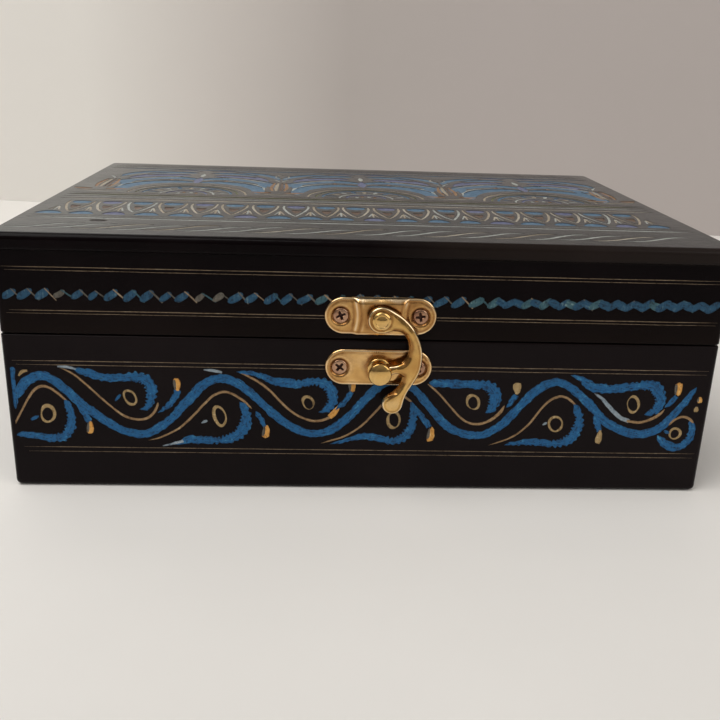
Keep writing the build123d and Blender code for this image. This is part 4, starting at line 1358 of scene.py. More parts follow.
def hook_outline():
    """The hook's outline about its pivot, clockwise seen from the front."""
    def cw(deg):
        return (math.sin(math.radians(deg)), -math.cos(math.radians(deg)))

    disc, tab, tip, neck = (0.0, 0.0), (3.7, -23.2), (-0.5, -17.08), (0.0, -14.2)
    out = sweep(disc, 3.6, -62, -280)[:-1]
    out += through([on(disc, 3.6, 80), (3.1, 2.55), (5.4, 1.05), (7.35, -0.7), (9.0, -2.85),
                    (10.15, -5.2), (10.95, -8.0), (11.05, -11.2), (10.65, -13.8),
                    (9.8, -15.9), (8.7, -17.9), (7.55, -20.0), (6.85, -22.0),
                    on(tab, 2.85, -12)], cw(80), cw(-12))
    out += sweep(tab, 2.85, -12, -222)[:-1]
    out += through([on(tab, 2.85, 138), (2.75, -20.3), (4.15, -19.35), (5.15, -18.05),
                    (5.85, -16.7), (6.0, -15.4), (5.35, -14.6), (4.2, -14.62),
                    (3.3, -14.95), (2.85, -16.0), (2.1, -17.1), (0.9, -17.8),
                    on(tip, 0.87, -90)], cw(138), (-1, 0))
    out += sweep(tip, 0.87, -90, -270)
    out += sweep(neck, 2.0, -90, 38)[:-1]
    out += through([on(neck, 2.0, 38), (2.2, -12.55), (3.3, -12.4), (4.7, -12.15),
                    (6.15, -11.25), (7.1, -9.75), (7.5, -7.7), (7.25, -5.95),
                    (6.4, -4.25), (5.15, -3.25), (3.6, -3.1), on(disc, 3.6, -62)],
                   (0.35, 0.94), cw(-62))
    return out


def eased(loop, step=0.22, soft=0.42):
    """The same outline, evenly divided and with its corners eased."""
    pts = [Vector(p) for p in loop]
    n = len(pts)
    run = [0.0]
    for i in range(n):
        run.append(run[-1] + (pts[(i + 1) % n] - pts[i]).length)
    m = int(run[-1] / step)
    even, k = [], 0
    for i in range(m):
        s = run[-1] * i / m
        while run[k + 1] < s:
            k += 1
        t = (s - run[k]) / max(1e-9, run[k + 1] - run[k])
        even.append(pts[k].lerp(pts[(k + 1) % n], t))
    reach = int(3 * soft / step)
    w = [math.exp(-0.5 * (j * step / soft) ** 2) for j in range(-reach, reach + 1)]
    out = []
    for i in range(m):
        q = sum((even[(i + j) % m] * w[j + reach] for j in range(-reach, reach + 1)), Vector((0, 0)))
        q /= sum(w)
        out.append((q.x, q.y))
    return out


def to_outline(px, py, loop):
    """Distance of every point to a closed outline."""
    a = np.array(loop)
    d = np.roll(a, -1, 0) - a
    ll = np.maximum((d ** 2).sum(1), 1e-12)
    out = np.empty(len(px))
    for part in np.array_split(np.arange(len(px)), max(1, len(px) * len(a) // 1500000 + 1)):
        if not len(part):
            continue
        qx, qy = px[part][:, None] - a[None, :, 0], py[part][:, None] - a[None, :, 1]
        t = np.clip((qx * d[:, 0] + qy * d[:, 1]) / ll, 0, 1)
        out[part] = np.sqrt(((qx - t * d[:, 0]) ** 2 + (qy - t * d[:, 1]) ** 2).min(1))
    return out


def roll(t):
    """A quarter round, from its foot at 0 to its level top at 1."""
    return np.sqrt(np.clip(1 - (1 - np.clip(t, 0, 1)) ** 2, 0, 1))


def ease(a, b, x):
    t = np.clip((x - a) / (b - a), 0, 1)
    return t * t * (3 - 2 * t)


def beside(loop, off):
    """The outline moved off to its left."""
    n = len(loop)
    out = []
    for i in range(n):
        a, b, c = Vector(loop[i - 1]), Vector(loop[i]), Vector(loop[(i + 1) % n])
        e1, e2 = (b - a).normalized(), (c - b).normalized()
        m = Vector((-e1.y - e2.y, e1.x + e2.x))
        m = m.normalized() if m.length > 1e-6 else Vector((-e1.y, e1.x))
        m /= max(0.75, m.dot(Vector((-e1.y, e1.x))))
        out.append((b.x + m.x * off, b.y + m.y * off))
    return out


def relief(name, outer, holes, height, low, place, materials, pitch=0.32,
           rows=(0.05, 0.12, 0.21, 0.33, 0.48, 0.68, 0.92), paint=None, back=0.22, shank=None, paint_light_and_wear=None):
    """A struck or cast piece: its front is a height over its plan, its sides
    run down to the back. outer runs anticlockwise and holes clockwise.
    height(x, y, d): d is the distance from the outline. shank: rings of
    (radius, z) that carry a round piece on below its plan."""
    loops = [outer] + holes
    pts, edges = [], []
    for q in loops:
        b0 = len(pts)
        pts += q
        edges += [(b0 + i, b0 + (i + 1) % len(q)) for i in range(len(q))]
    fixed = len(pts)
    extra = []
    for q in loops:
        for k, r in enumerate(rows):
            extra += [(x, y, 0.9 * r) for x, y in beside(q, r)[k % 2::2 if k > 2 else 1]]
    xs, ys = [p[0] for p in outer], [p[1] for p in outer]
    j, y = 0, min(ys)
    while y < max(ys):
        x = min(xs) + (pitch / 2 if j % 2 else 0)
        while x < max(xs):
            extra.append((x, y, rows[-1] + 0.45 * pitch))
            x += pitch
        y += pitch * 0.87
        j += 1
    e = np.array(extra)
    ok = inside(e[:, 0], e[:, 1], outer)
    for q in loops:
        ok &= to_outline(e[:, 0], e[:, 1], q) >= e[:, 2]
    for q in holes:
        ok &= ~inside(e[:, 0], e[:, 1], q)
    pts += [tuple(p) for p in e[ok][:, :2]]
    vs, _, tris, orig, _, _ = delaunay_2d_cdt([Vector(p) for p in pts], edges, [], 0, 1e-6, True)
    px, py = np.array([v[0] for v in vs]), np.array([v[1] for v in vs])
    spot = {}
    for i, ids in enumerate(orig):
        for k in ids:
            spot[k] = i
    pd = to_outline(px, py, outer)
    pz = height(px, py, pd)
    # the values carry painted highlights above 0 and painted shade below 0, with some rubbing and patina
    painted_light_and_wear = list(np.clip(paint_light_and_wear(px, py, pd), -1, 1)) if paint_light_and_wear else [0.0] * len(px)
    verts = [place(x, y, z) for x, y, z in zip(px, py, pz)]
    tri = np.array([list(t) for t in tris if len(t) == 3], int)
    cx, cy = px[tri].mean(1), py[tri].mean(1)
    good = inside(cx, cy, outer)
    for q in holes:
        good &= ~inside(cx, cy, q)
    faces, mats, sharp = [], [], set()
    tone = paint(cx, cy) if paint else np.zeros(len(tri), int)
    for t, g, m in zip(tri, good, tone):
        if not g:
            continue
        a, b, c = (int(i) for i in t)
        if (px[b] - px[a]) * (py[c] - py[a]) - (px[c] - px[a]) * (py[b] - py[a]) < 0:
            b, c = c, b
        faces.append((a, b, c))
        mats.append(int(m))
    start = 0
    last = []
    for q in loops:
        n = len(q)
        top = [spot[start + i] for i in range(n)]
        start += n
        rings = [top]
        levels = [(0.0, low + back), (back * 0.3, low + back * 0.3), (back, low)]
        if shank and q is outer:
            levels = [(None, r, z) for r, z in shank]
        for lv in levels:
            ring_ids = []
            if lv[0] is None:
                big = max(math.hypot(x, y) for x, y in q)
                spots = [(x / big * lv[1], y / big * lv[1], lv[2]) for x, y in q]
            else:
                spots = [(x, y, lv[1]) for x, y in (beside(q, lv[0]) if lv[0] else q)]
            for p in spots:
                ring_ids.append(len(verts))
                verts.append(place(*p))
            rings.append(ring_ids)
        for r0, r1 in zip(rings, rings[1:]):
            for i in range(n):
                k = (i + 1) % n
                faces.append((r0[i], r1[i], r1[k], r0[k]))
                mats.append(0)
        if shank and q is outer:
            tip = len(verts)
            verts.append(place(0, 0, shank[-1][1] - 0.3))
            for i in range(n):
                faces.append((rings[-1][i], tip, rings[-1][(i + 1) % n]))
                mats.append(0)
        last.append((rings[-1], beside(q, back)))
        for i in range(n):
            sharp.add(tuple(sorted((rings[-1][i], rings[-1][(i + 1) % n]))))
    if not shank:
        bp, be, bi = [], [], []
        for ids, q in last:
            b0 = len(bp)
            bp += [Vector(p) for p in q]
            bi += ids
            be += [(b0 + i, b0 + (i + 1) % len(q)) for i in range(len(q))]
        v2, _, t2, o2, _, _ = delaunay_2d_cdt(bp, be, [], 0, 1e-6, True)
        bx = np.array([sum(v2[i][0] for i in t) / 3 for t in t2])
        by = np.array([sum(v2[i][1] for i in t) / 3 for t in t2])
        g2 = inside(bx, by, last[0][1])
        for _, q in last[1:]:
            g2 &= ~inside(bx, by, q)
        for t, g in zip(t2, g2):
            if not g or not all(o2[i] for i in t):
                continue
            a, b, c = (v2[i] for i in t)
            f = [bi[o2[i][0]] for i in t]
            if (b[0] - a[0]) * (c[1] - a[1]) - (c[0] - a[0]) * (b[1] - a[1]) > 0:
                f.reverse()
            faces.append(tuple(f))
            mats.append(0)
    mesh = bpy.data.meshes.new(name)
    mesh.from_pydata(verts, [], faces, shade_flat=False)
    for m in materials:
        mesh.materials.append(m)
    mesh.polygons.foreach_set("material_index", mats)
    mark = mesh.attributes.new("sharp_edge", "BOOLEAN", "EDGE")
    mark.data.foreach_set("value", [tuple(sorted(k.vertices)) in sharp for k in mesh.edges])
    # sides and back get a browner, darker tone: painted shade
    painted_light_and_wear += [-0.3 if paint_light_and_wear else 0.0] * (len(verts) - len(painted_light_and_wear))
    mesh.attributes.new("painted_light_and_wear", "FLOAT", "POINT").data.foreach_set("value", painted_light_and_wear)
    if mesh.validate():
        print(name, "needed validation")
    return mesh


def joined(name, meshes, body, node, spare=()):
    """One piece from one or more meshes."""
    bm = bmesh.new()
    mats = []
    for m in meshes:
        for k in m.materials:
            if k not in mats:
                mats.append(k)
    for m in meshes:
        first = len(bm.faces)
        at = [mats.index(k) for k in m.materials]
        bm.from_mesh(m)
        bm.faces.ensure_lookup_table()
        for f in bm.faces[first:]:
            f.material_index = at[f.material_index]
    mesh = bpy.data.meshes.new(name)
    bm.to_mesh(mesh)
    bm.free()
    for k in mats:
        mesh.materials.append(k)
    o = link_object(name, mesh)
    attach(o, body)
    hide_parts(node)
    for m in meshes:
        bpy.data.meshes.remove(m)
    return o


def placed(cx, cz):
    return lambda x, y, z: ((cx + x) * MM, (FRONT_Y - z) * MM, (cz + y) * MM)


def circle(cx, cy, r, n, clockwise=False):
    out = [(cx + r * math.cos(2 * math.pi * i / n), cy + r * math.sin(2 * math.pi * i / n)) for i in range(n)]
    return out[::-1] if clockwise else out


def slot_outline(length, tall, step=0.3):
    r, h = tall / 2, length / 2 - tall / 2
    n = int(math.pi * r / step)
    out = [on((h, 0), r, -90 + 180 * i / n) for i in range(n + 1)]
    k = int(2 * h / step)
    out += [(h - 2 * h * i / k, r) for i in range(1, k)]
    out += [on((-h, 0), r, 90 + 180 * i / n) for i in range(n + 1)]
    out += [(-h + 2 * h * i / k, -r) for i in range(1, k)]
    return out


SCREW_X = 10.4


def sunk(x, y):
    """How far a plate's face dips towards its screw holes."""
    dip = 0.0
    for sx in (-SCREW_X, SCREW_X):
        r = np.hypot(x - sx, y)
        dip = dip + 0.42 * (1 - ease(2.16, 2.66, r)) - 0.05 * np.exp(-((r - 2.95) / 0.28) ** 2)
    return dip


def bell(x, middle, half):
    return np.exp(-((x - middle) / half) ** 2)


def ramp_at(x, y):
    """Where a point lies on the lid plate's pressed ramps, from its middle."""
    return np.abs(x) - 0.03 * y ** 2 - 0.12 * np.sin(0.55 * x + 0.8) * np.cos(0.5 * y)


def lid_plate_height(x, y, d):
    raised = 1.0 * (1 - ease(5.25, 6.95, ramp_at(x, y)))
    # the bridge's long edges are struck to a bevel, wider on top
    near = (1.22 - (5.0 - y)) / 1.22
    slope = 0.5 * (near + np.sqrt(near ** 2 + 0.012))
    raised = raised * (1 - 1.12 * np.minimum(slope, 1.0) - 0.4 * (1 - roll((5.0 + y) / 0.7)))
    crown = -0.26 * (1 - roll(d / 4.6))
    lip = 0.05 * bell(d, 0.42, 0.16) - 0.06 * bell(d, 0.86, 0.20)
    return 0.36 + 0.40 * roll(d / 0.45) + raised + crown + lip - sunk(x, y)


def body_plate_height(x, y, d):
    crown = -0.26 * (1 - roll(d / 4.6))
    lip = 0.05 * bell(d, 0.42, 0.16) - 0.06 * bell(d, 0.86, 0.20)
    return 0.36 + 0.40 * roll(d / 0.45) + crown + lip - sunk(x, y)


def edge_light_and_wear(x, y, d):
    """Painted highlight on the lip, partly rubbing, a painted shade line inside it, and painted shade rings about the
    screws with a lighter ring between them.
    """
    out = 0.95 * bell(d, 0.36, 0.17) - 0.75 * bell(d, 0.84, 0.22)
    for sx in (-SCREW_X, SCREW_X):
        r = np.hypot(x - sx, y)
        out = out - 0.95 * bell(r, 2.42, 0.36) + 0.35 * bell(r, 3.0, 0.18) - 0.25 * bell(r, 3.7, 0.7)
    return out


def lid_plate_light_and_wear(x, y, d):
    # painted light: highlights on the ramps and the bridge's top bevel, shade at the ramps' feet and inside them,
    # darker and browner towards the right end and left of middle, a painted shadow ring round the hook's eye
    e = ramp_at(x, y)
    far = ease(2.0, 4.0, x)
    shine = (1 - far) + far * ease(1.6, 3.6, y)
    fold = -0.75 * bell(e, 7.05, 0.34) + 0.62 * shine * bell(e, 6.2, 0.26) - 0.8 * bell(e, 5.2, 0.34)
    painted_ramp_highlight = 0.30 * bell(e, 4.4, 0.3) * (1 - far)
    tint = -0.30 * ease(6.5, 9.0, x) - 0.18 * bell(x, -3.6, 1.0)
    bevel = 0.62 * (1 - ease(5.4, 6.4, e)) * (1 - ease(1.0, 1.35, 5.0 - y))
    return edge_light_and_wear(x, y, d) * (1 - 0.8 * (bevel > 0.2)) + bevel + (fold + painted_ramp_highlight + tint) * ease(0.5, 1.0, d) - 0.6 * bell(np.hypot(x, y), 4.2, 0.7)


def body_plate_light_and_wear(x, y, d):
    # painted highlight and shade on the edges, and a painted shadow ring round the stud
    return edge_light_and_wear(x, y, d) - 0.6 * bell(np.hypot(x, y), 3.3, 0.9)


TAIL = [(6.0, -15.2), (5.85, -16.7), (5.15, -18.05), (4.15, -19.35), (2.75, -20.3)]
BAY = [(3.6, -3.1), (5.15, -3.25), (6.4, -4.25), (7.25, -5.95), (7.5, -7.7), (7.1, -9.75), (6.15, -11.25)]


def to_line(px, py, line):
    """Distance of every point to an open line."""
    out = np.full(len(px), 1e9)
    for (ax, ay), (bx, by) in zip(line, line[1:]):
        dx, dy = bx - ax, by - ay
        t = np.clip(((px - ax) * dx + (py - ay) * dy) / (dx * dx + dy * dy), 0, 1)
        out = np.minimum(out, np.hypot(px - ax - t * dx, py - ay - t * dy))
    return out


def hook_height(x, y, d):
    arm = ease(2.9, 5.0, np.hypot(x, y))
    low = 3.60 + 0.35 * roll(d / 0.5)
    crown = 0.80 * roll(d / 2.5) * arm + (0.80 - 0.34 * (1 - roll(d / 1.3))) * (1 - arm)
    lip = 0.07 * bell(d, 0.40, 0.15) - 0.08 * bell(d, 0.82, 0.18)
    bay = 0.40 * (1 - ease(0.1, 1.3, to_line(x, y, BAY)))
    slope = 3.57 + 0.86 * to_line(x, y, TAIL) + 2.5 * ease(-15.6, -13.8, y) + 2.5 * ease(-20.0, -21.6, y)
    h = low + crown + lip - bay
    soft = 0.10
    h = 0.5 * (h + slope - np.sqrt((h - slope) ** 2 + soft ** 2))
    return np.clip(h, 3.56, 4.75)


def hook_light_and_wear(x, y, d):
    """Painted highlight on the outer edge, partly rubbing, with a painted shade line inside it, a painted dark
    reflection on the inner flanks, a painted shadow ring round the rivet and a lighter tab.
    """
    bay = np.minimum(to_line(x, y, BAY), to_line(x, y, TAIL))
    outer = ease(0.8, 2.4, bay)
    out = (0.95 * bell(d, 0.34, 0.17) - 0.8 * bell(d, 0.80, 0.20)) * outer
    out = out - 0.9 * (1 - ease(0.5, 1.6, bay)) - 0.25 * ease(2.4, 0.8, bay)
    r = np.hypot(x, y)
    return out - 0.9 * bell(r, 2.75, 0.30) + 0.15 * bell(y, -23.0, 1.6)


def screw_height(turn, deep):
    c, s = math.cos(math.radians(turn)), math.sin(math.radians(turn))

    def f(x, y, d):
        u, v = np.abs(c * x + s * y), np.abs(-s * x + c * y)
        r = np.hypot(x, y)
        z = 0.34 + 0.20 * roll(d / 0.3) + 0.22 * roll(d / 2.0)
        arm = np.maximum((1 - ease(0.22, 0.42, v + 0.08 * u)) * (1 - ease(1.12, 1.36, u)),
                         (1 - ease(0.22, 0.42, u + 0.08 * v)) * (1 - ease(1.12, 1.36, v)))
        return z - deep * arm * (1.0 - 0.30 * r)
    return f


def screw_paint(turn):
    c, s = math.cos(math.radians(turn)), math.sin(math.radians(turn))

    def f(x, y):
        u, v = np.abs(c * x + s * y), np.abs(-s * x + c * y)
        arm = np.maximum((v + 0.08 * u < 0.36) & (u < 1.26), (u + 0.08 * v < 0.36) & (v < 1.26))
        return arm.astype(int)
    return f


def lathe(name, corners, place, material, n=72, arc=7):
    """A turned piece. corners: (radius, z, rounding); the outline runs from the
    back of its axis round to the front."""
    path = []
    m = len(corners)
    for i, (r, z, f) in enumerate(corners):
        here = Vector((r, z))
        if f <= 0 or i in (0, m - 1):
            into = (here - Vector(corners[i - 1][:2])).normalized() if i else None
            away = (Vector(corners[i + 1][:2]) - here).normalized() if i < m - 1 else None
            if into is not None:
                path.append((here, into))
            if away is not None:
                path.append((here, away))
            continue
        into = (here - Vector(corners[i - 1][:2])).normalized()
        away = (Vector(corners[i + 1][:2]) - here).normalized()
        for k in range(arc + 1):
            t = k / arc
            a, b = here - into * f, here + away * f
            p = a * (1 - t) ** 2 + here * 2 * t * (1 - t) + b * t * t
            path.append((p, (into * (1 - t) + away * t).normalized()))
    verts, faces, normals = [], [], []

    def way(nx, ny, nz):
        a, b = Vector(place(0, 0, 0)), Vector(place(nx, ny, nz))
        return tuple((b - a).normalized())

    cs = [(math.cos(2 * math.pi * j / n), math.sin(2 * math.pi * j / n)) for j in range(n)]
    rows, known = [], {}
    for p, _ in path:
        key = (round(p.x, 6), round(p.y, 6))
        if key not in known:
            if p.x < 1e-6:
                known[key] = [len(verts)] * n
                verts.append(place(0, 0, p.y))
            else:
                known[key] = list(range(len(verts), len(verts) + n))
                verts += [place(p.x * a, p.x * b, p.y) for a, b in cs]
        rows.append(known[key])
    for i in range(len(path) - 1):
        if rows[i] is rows[i + 1]:
            continue
        t0, t1 = path[i][1], path[i + 1][1]
        for j in range(n):
            k = (j + 1) % n
            f = [(rows[i][j], t0, j), (rows[i][k], t0, k), (rows[i + 1][k], t1, k), (rows[i + 1][j], t1, j)]
            seen, g = set(), []
            for q in f:
                if q[0] not in seen:
                    seen.add(q[0])
                    g.append(q)
            if len(g) < 3:
                continue
            faces.append([q[0] for q in g])
            normals.append([way(q[1].y * cs[q[2]][0], q[1].y * cs[q[2]][1], -q[1].x) for q in g])
    mesh = bpy.data.meshes.new(name)
    mesh.from_pydata(verts, [], faces, shade_flat=False)
    mesh.materials.append(material)
    mesh.normals_split_custom_set([q for ns in normals for q in ns])
    return mesh


hook_at = placed(LATCH_X, PIVOT_Z)
hook_loop = eased(hook_outline()[::-1], 0.24)
joined("latch_hook_cast", [relief("hook_mesh", hook_loop, [circle(0, 0, 1.25, 30, True)], hook_height,
                                  HOOK_BACK, hook_at, [MAT["cast"]], pitch=0.28, paint_light_and_wear=hook_light_and_wear)],
       "hook", "latch_hook")

PLATE_HOLES = [circle(sx, 0, 2.13, 40, True) for sx in (-SCREW_X, SCREW_X)]
joined("latch_lid_plate_struck",
       [relief("lid_plate_mesh", slot_outline(29.3, 10.0), PLATE_HOLES + [circle(0, 0, 1.2, 30, True)],
               lid_plate_height, 0.0, placed(LATCH_X, PIVOT_Z), [MAT["plate"]], back=0.1, pitch=0.28,
               paint_light_and_wear=lid_plate_light_and_wear)],
       "lid", "latch_lid_plate")
joined("latch_body_plate_struck",
       [relief("body_plate_mesh", slot_outline(28.5, 10.0), PLATE_HOLES + [circle(0, 0, 1.4, 30, True)],
               body_plate_height, 0.0, placed(LATCH_X, STUD_Z), [MAT["plate"]], back=0.1, pitch=0.28,
               paint_light_and_wear=body_plate_light_and_wear)],
       "base", "latch_body_plate")

SHANK = [(2.05, 0.30), (1.98, 0.20), (0.92, -0.55), (0.9, -0.8), (0.9, -4.4), (0.45, -5.6), (0.12, -6.0)]
for body, node, cz, turns in (("lid", "latch_lid_screws", PIVOT_Z, (22, 8)),
                              ("base", "latch_body_screws", STUD_Z, (52, 35))):
    parts = [relief("%s_%d" % (node, k), circle(0, 0, 2.05, 44), [], screw_height(turn, 1.0), -6.2,
                    placed(LATCH_X + sx, cz), [MAT["screw"], MAT["recess"]], pitch=0.13,
                    rows=(0.05, 0.12, 0.21), paint=screw_paint(turn), shank=SHANK)
             for k, (sx, turn) in enumerate(zip((-SCREW_X, SCREW_X), turns))]
    joined(node + "_turned", parts, body, node)

stud = lathe("latch_stud_turned", [(0, 0, 0), (1.4, 0, 0), (1.4, 0.8, 0), (3.1, 0.8, 0), (3.1, 2.2, 0.38),
                                   (1.7, 2.5, 0.30), (1.7, 4.9, 0.22), (3.05, 5.2, 0.24), (3.05, 6.15, 0.30),
                                   (2.75, 6.42, 0.20), (2.0, 6.72, 0.45), (1.1, 6.93, 0.45), (0.02, 7.0, 0.0),
                                   (0, 7.0, 0)],
             placed(LATCH_X, STUD_Z), MAT["turned"])
o = link_object("latch_stud_turned", stud)
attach(o, "base")
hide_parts("latch_stud")

rivet = lathe("latch_rivet_turned", [(0, 0.3, 0), (2.0, 0.3, 0.1), (2.0, 1.0, 0), (1.2, 1.0, 0), (1.2, 1.8, 0),
                                     (2.5, 1.8, 0), (2.5, 3.2, 0.2), (1.2, 3.2, 0), (1.2, 4.8, 0),
                                     (2.48, 4.8, 0.08), (2.48, 5.35, 0.26), (1.95, 5.72, 0.20), (1.66, 5.72, 0.10),
                                     (1.52, 5.60, 0.08), (1.2, 5.72, 0.16), (0.6, 5.90, 0.3), (0, 5.95, 0)],
              placed(LATCH_X, PIVOT_Z), MAT["turned"])
o = link_object("latch_rivet_turned", rivet)
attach(o, "lid")
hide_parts("latch_pivot_rivet")


# ------------------------------------------------------------ velvet lining
def velvet_pad(node_name, out_axis, edge, crown, seed, wrinkle=0.08):
    """A padded, velvet-covered panel in the room of its plain CAD solid: its
    face swells towards out_axis and rolls down to the card at its rim."""
    lo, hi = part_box(node_name)
    lo, hi = [c / MM for c in lo], [c / MM for c in hi]
    ax = abs(out_axis[0]) * 0 + abs(out_axis[1]) * 1 + abs(out_axis[2]) * 2
    sign = sum(out_axis)
    p, q = [i for i in range(3) if i != ax]
    base = lo[ax] if sign > 0 else hi[ax]
    tall = hi[ax] - lo[ax]
    wide, high = hi[p] - lo[p], hi[q] - lo[q]
    rng = random.Random(seed)
    waves = [(rng.uniform(0.03, 0.11), rng.uniform(0.03, 0.11), rng.uniform(0, 6.28), rng.uniform(0.5, 1))
             for _ in range(7)]
    tucks = [(rng.uniform(0.25, 0.6), rng.uniform(0, 6.28)) for _ in range(5)]

    def spread(n, length):
        out = []
        for i in range(n + 1):
            t = i / n
            s = (1 - math.cos(math.pi * t)) / 2
            out.append(length * (0.55 * s + 0.45 * t))
        return out

    nu = max(16, int(wide / 3.4))
    nv = max(9, int(high / 3.4))
    us, vs = spread(nu, wide), spread(nv, high)
    verts, faces = [], []
    grid = {}
    corner = min(1.6, 0.2 * min(wide, high))
    for j, b in enumerate(vs):
        for i, a in enumerate(us):
            ea, eb = min(a, wide - a), min(b, high - b)
            e = min(ea, eb)
            if ea < edge * 1.5 and eb < edge * 1.5:
                e = min(e, max(0.0, edge * 1.5 - math.hypot(edge * 1.5 - ea, edge * 1.5 - eb)))
            t = min(1.0, e / edge)
            roll = (1 - (1 - t) ** 2.3) ** (1 / 2.3)
            dome = (math.sin(math.pi * a / wide) * math.sin(math.pi * b / high)) ** 0.5 if 0 < a < wide and 0 < b < high else 0
            h = tall * roll * (1 - crown + crown * dome)
            w = sum(m * math.sin(fa * a + fb * b + ph) for fa, fb, ph, m in waves) / 4
            along_rim = a if eb < ea else b
            pull = math.exp(-e / (edge * 0.8)) * sum(math.sin(f * along_rim + ph) for f, ph in tucks) / 5
            h -= tall * wrinkle * (0.5 + 0.5 * w) * t
            h -= tall * wrinkle * 1.3 * max(0.0, pull) * t
            h = min(max(h, 0.0), tall)
            c = [0.0, 0.0, 0.0]
            # plan corners are slightly rounded
            aa, bb = a, b
            if ea < corner and eb < corner:
                ca = corner if a < wide / 2 else wide - corner
                cb = corner if b < high / 2 else high - corner
                dx, dy = a - ca, b - cb
                big = max(abs(dx), abs(dy)) or 1.0
                ln = math.hypot(dx, dy) or 1.0
                aa, bb = ca + dx * big / ln, cb + dy * big / ln
            c[p], c[q] = lo[p] + aa, lo[q] + bb
            c[ax] = base + sign * h
            grid[(i, j)] = len(verts)
            verts.append(tuple(x * MM for x in c))
    flip = (sign > 0) != (ax == 1)
    for j in range(nv):
        for i in range(nu):
            f = (grid[(i, j)], grid[(i + 1, j)], grid[(i + 1, j + 1)], grid[(i, j + 1)])
            faces.append(f if flip else f[::-1])
    rim = ([grid[(i, 0)] for i in range(nu)] + [grid[(nu, j)] for j in range(nv)]
           + [grid[(i, nv)] for i in range(nu, 0, -1)] + [grid[(0, j)] for j in range(nv, 0, -1)])
    # a short standing edge, then the flat back, in the same quads
    under = {}
    for (i, j), k in grid.items():
        c = list(verts[k])
        c[ax] = base * MM
        under[k] = len(verts)
        verts.append(tuple(c))
    for k in rim:
        c = list(verts[k])
        c[ax] = (base + sign * tall * 0.22) * MM
        verts[k] = tuple(c)
    for f in list(faces):
        faces.append(tuple(under[k] for k in reversed(f)))
    n = len(rim)
    for k in range(n):
        a, b = rim[k], rim[(k + 1) % n]
        f = (a, under[a], under[b], b)
        faces.append(f if flip else f[::-1])
    mesh = bpy.data.meshes.new(node_name + "_velvet")
    mesh.from_pydata(verts, [], faces, shade_flat=False)
    mesh.materials.append(MAT["velvet"])
    mesh.validate()
    o = link_object(node_name + "_velvet", mesh)
    sub = o.modifiers.new("smooth", "SUBSURF")
    sub.levels = sub.render_levels = 1
    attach(o, BODY_OF[node_name])
    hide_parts(node_name)
    return o


velvet_pad("body_floor_pad", (0, 0, 1), 6.0, 0.30, 1)
velvet_pad("lid_lining_pad", (0, 0, -1), 6.0, 0.34, 2)
velvet_pad("body_lining_front", (0, 1, 0), 1.4, 0.12, 3)
velvet_pad("body_lining_back", (0, -1, 0), 1.4, 0.12, 4)
velvet_pad("body_lining_left", (1, 0, 0), 1.4, 0.12, 5)
velvet_pad("body_lining_right", (-1, 0, 0), 1.4, 0.12, 6)
velvet_pad("lid_lining_front", (0, 1, 0), 1.4, 0.12, 7)
velvet_pad("lid_lining_back", (0, -1, 0), 1.4, 0.12, 8)
velvet_pad("lid_lining_left", (1, 0, 0), 1.4, 0.12, 9)
velvet_pad("lid_lining_right", (-1, 0, 0), 1.4, 0.12, 10)


# ------------------------------------------------------- floor, wall, lights
def floor_material():
    n = Nodes("table_white")
    c = n.ramp(n.noise(3.0, 5.0, 0.6), [(0.35, (0.835, 0.815, 0.78)), (0.7, (0.895, 0.875, 0.84))])
    y = n.node("ShaderNodeSeparateXYZ")
    n.link(n.co, y.inputs["Vector"])
    # painted shade: the floor is darkened towards the front
    near = n.ramp(n.grey(y.outputs["Y"], 0.0, 1.0, -0.30, -0.06),
                  [(0.0, (0.78, 0.775, 0.78)), (0.5, (0.89, 0.89, 0.89)), (1.0, (1.0, 1.0, 1.0))])
    n.set("Base Color", n.mix(1.0, c, near, "MULTIPLY"))
    n.set("Roughness", 0.62)
    n.set("Specular IOR Level", 0.2)
    return n.m


def wall_material():
    n = Nodes("wall_grey")
    x = n.node("ShaderNodeSeparateXYZ")
    n.link(n.co, x.inputs["Vector"])
    # painted light and shade: the backdrop is lighter at its left and darker to its right, more so higher up
    painted_light_by_x = n.grey(x.outputs["X"], 0.0, 1.0, -0.42, 0.10)
    c = n.ramp(painted_light_by_x, [(0.0, (0.88, 0.86, 0.82)), (0.46, (0.84, 0.815, 0.77)), (0.65, (0.655, 0.615, 0.58)), (0.82, (0.495, 0.455, 0.43)), (1.0, (0.51, 0.465, 0.445))])
    over = n.grey(x.outputs["Z"], 0.0, 1.0, 0.150, 0.215)
    side = n.ramp(painted_light_by_x, [(0.0, (1.0, 1.0, 1.0)), (0.45, (0.96, 0.96, 0.96)), (0.75, (0.44, 0.43, 0.42)), (1.0, (0.36, 0.34, 0.33))])
    c = n.mix(over, c, side)
    n.set("Base Color", n.mix(0.05, c, n.ramp(n.noise(4.0, 2.0), [(0.3, (0.3, 0.28, 0.26)), (0.7, (0.6, 0.56, 0.52))])))
    n.set("Roughness", 0.9)
    n.set("Specular IOR Level", 0.15)
    return n.m


def sheet_mesh(name, corners, material, cuts=8):
    """A large plane from its four corners, lightly divided."""
    a, b, c, d = (Vector(p) for p in corners)
    verts, faces = [], []
    for j in range(cuts + 1):
        for i in range(cuts + 1):
            s, t = i / cuts, j / cuts
            verts.append(tuple((a * (1 - s) + b * s) * (1 - t) + (d * (1 - s) + c * s) * t))
    for j in range(cuts):
        for i in range(cuts):
            k = j * (cuts + 1) + i
            faces.append((k, k + 1, k + cuts + 2, k + cuts + 1))
    mesh = bpy.data.meshes.new(name)
    mesh.from_pydata(verts, [], faces)
    mesh.materials.append(material)
    o = link_object(name, mesh)
    return o


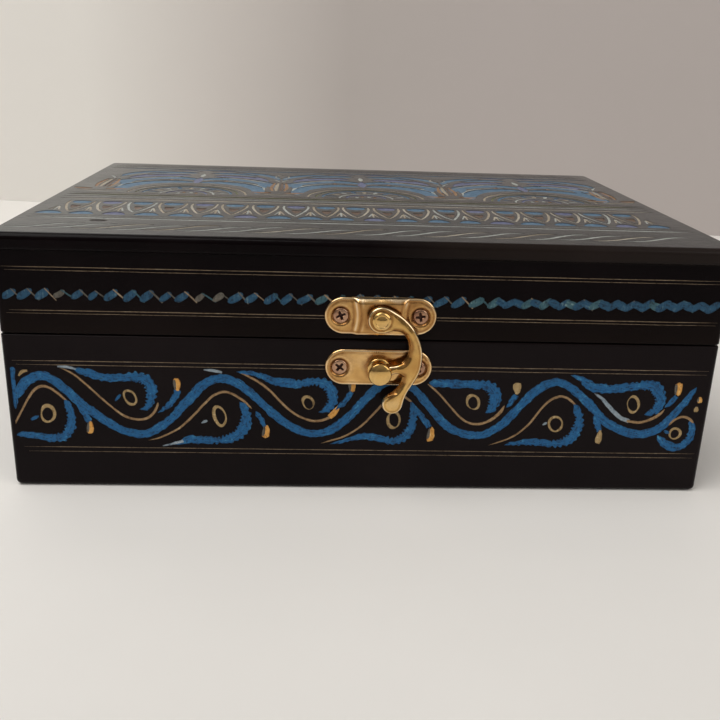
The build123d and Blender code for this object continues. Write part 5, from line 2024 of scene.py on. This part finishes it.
floor = sheet_mesh("floor", [(-4, -4, -0.0002), (4, -4, -0.0002), (4, 4, -0.0002), (-4, 4, -0.0002)],
                   floor_material())
w0, w1 = Vector((-0.1771, 0.3766, 0)), Vector((0.2167, 0.3215, 0))
wd = (w1 - w0).normalized()
wm = (w0 + w1) / 2
wall = sheet_mesh("backdrop", [wm - wd * 3.5, wm + wd * 3.5, wm + wd * 3.5 + Vector((0, 0, 3)),
                               wm - wd * 3.5 + Vector((0, 0, 3))], wall_material())
wall.visible_shadow = False


def area_light(name, at, to, size, power, colour=(1, 1, 1), size_y=None):
    data = bpy.data.lights.new(name, "AREA")
    data.energy, data.color, data.size = power, colour, size
    if size_y:
        data.shape, data.size_y = "RECTANGLE", size_y
    o = bpy.data.objects.new(name, data)
    bpy.context.scene.collection.objects.link(o)
    o.location = at
    o.rotation_euler = (Vector(to) - Vector(at)).to_track_quat("-Z", "Y").to_euler()
    return o


area_light("key", (-0.55, -0.35, 1.15), (0, 0, 0.03), 0.9, 9.5, (1.0, 0.985, 0.97))
area_light("fill", (0.95, -0.75, 0.7), (0, 0, 0.03), 0.9, 4.2, (1.0, 0.98, 0.96))
area_light("rear", (0.25, 1.1, 1.0), (0, 0, 0.03), 1.0, 1.6, (1.0, 0.98, 0.96))

world = bpy.data.worlds.new("studio")
world.use_nodes = True
bpy.context.scene.world = world
wt = world.node_tree
bg = next(k for k in wt.nodes if k.type == "BACKGROUND")
tc = wt.nodes.new("ShaderNodeTexCoord")
sp = wt.nodes.new("ShaderNodeSeparateXYZ")
wr = wt.nodes.new("ShaderNodeValToRGB")
wt.links.new(tc.outputs["Generated"], sp.inputs["Vector"])
mp = wt.nodes.new("ShaderNodeMapRange")
mp.inputs["From Min"].default_value, mp.inputs["From Max"].default_value = -1.0, 1.0
wt.links.new(sp.outputs["Z"], mp.inputs["Value"])
wt.links.new(mp.outputs["Result"], wr.inputs["Fac"])
wr.color_ramp.elements[0].position, wr.color_ramp.elements[0].color = 0.45, (0.10, 0.095, 0.09, 1)
wr.color_ramp.elements[1].position, wr.color_ramp.elements[1].color = 0.95, (0.75, 0.72, 0.68, 1)
wt.links.new(wr.outputs["Color"], bg.inputs["Color"])
bg.inputs["Strength"].default_value = 0.64
bpy.context.scene.view_settings.view_transform = "Standard"
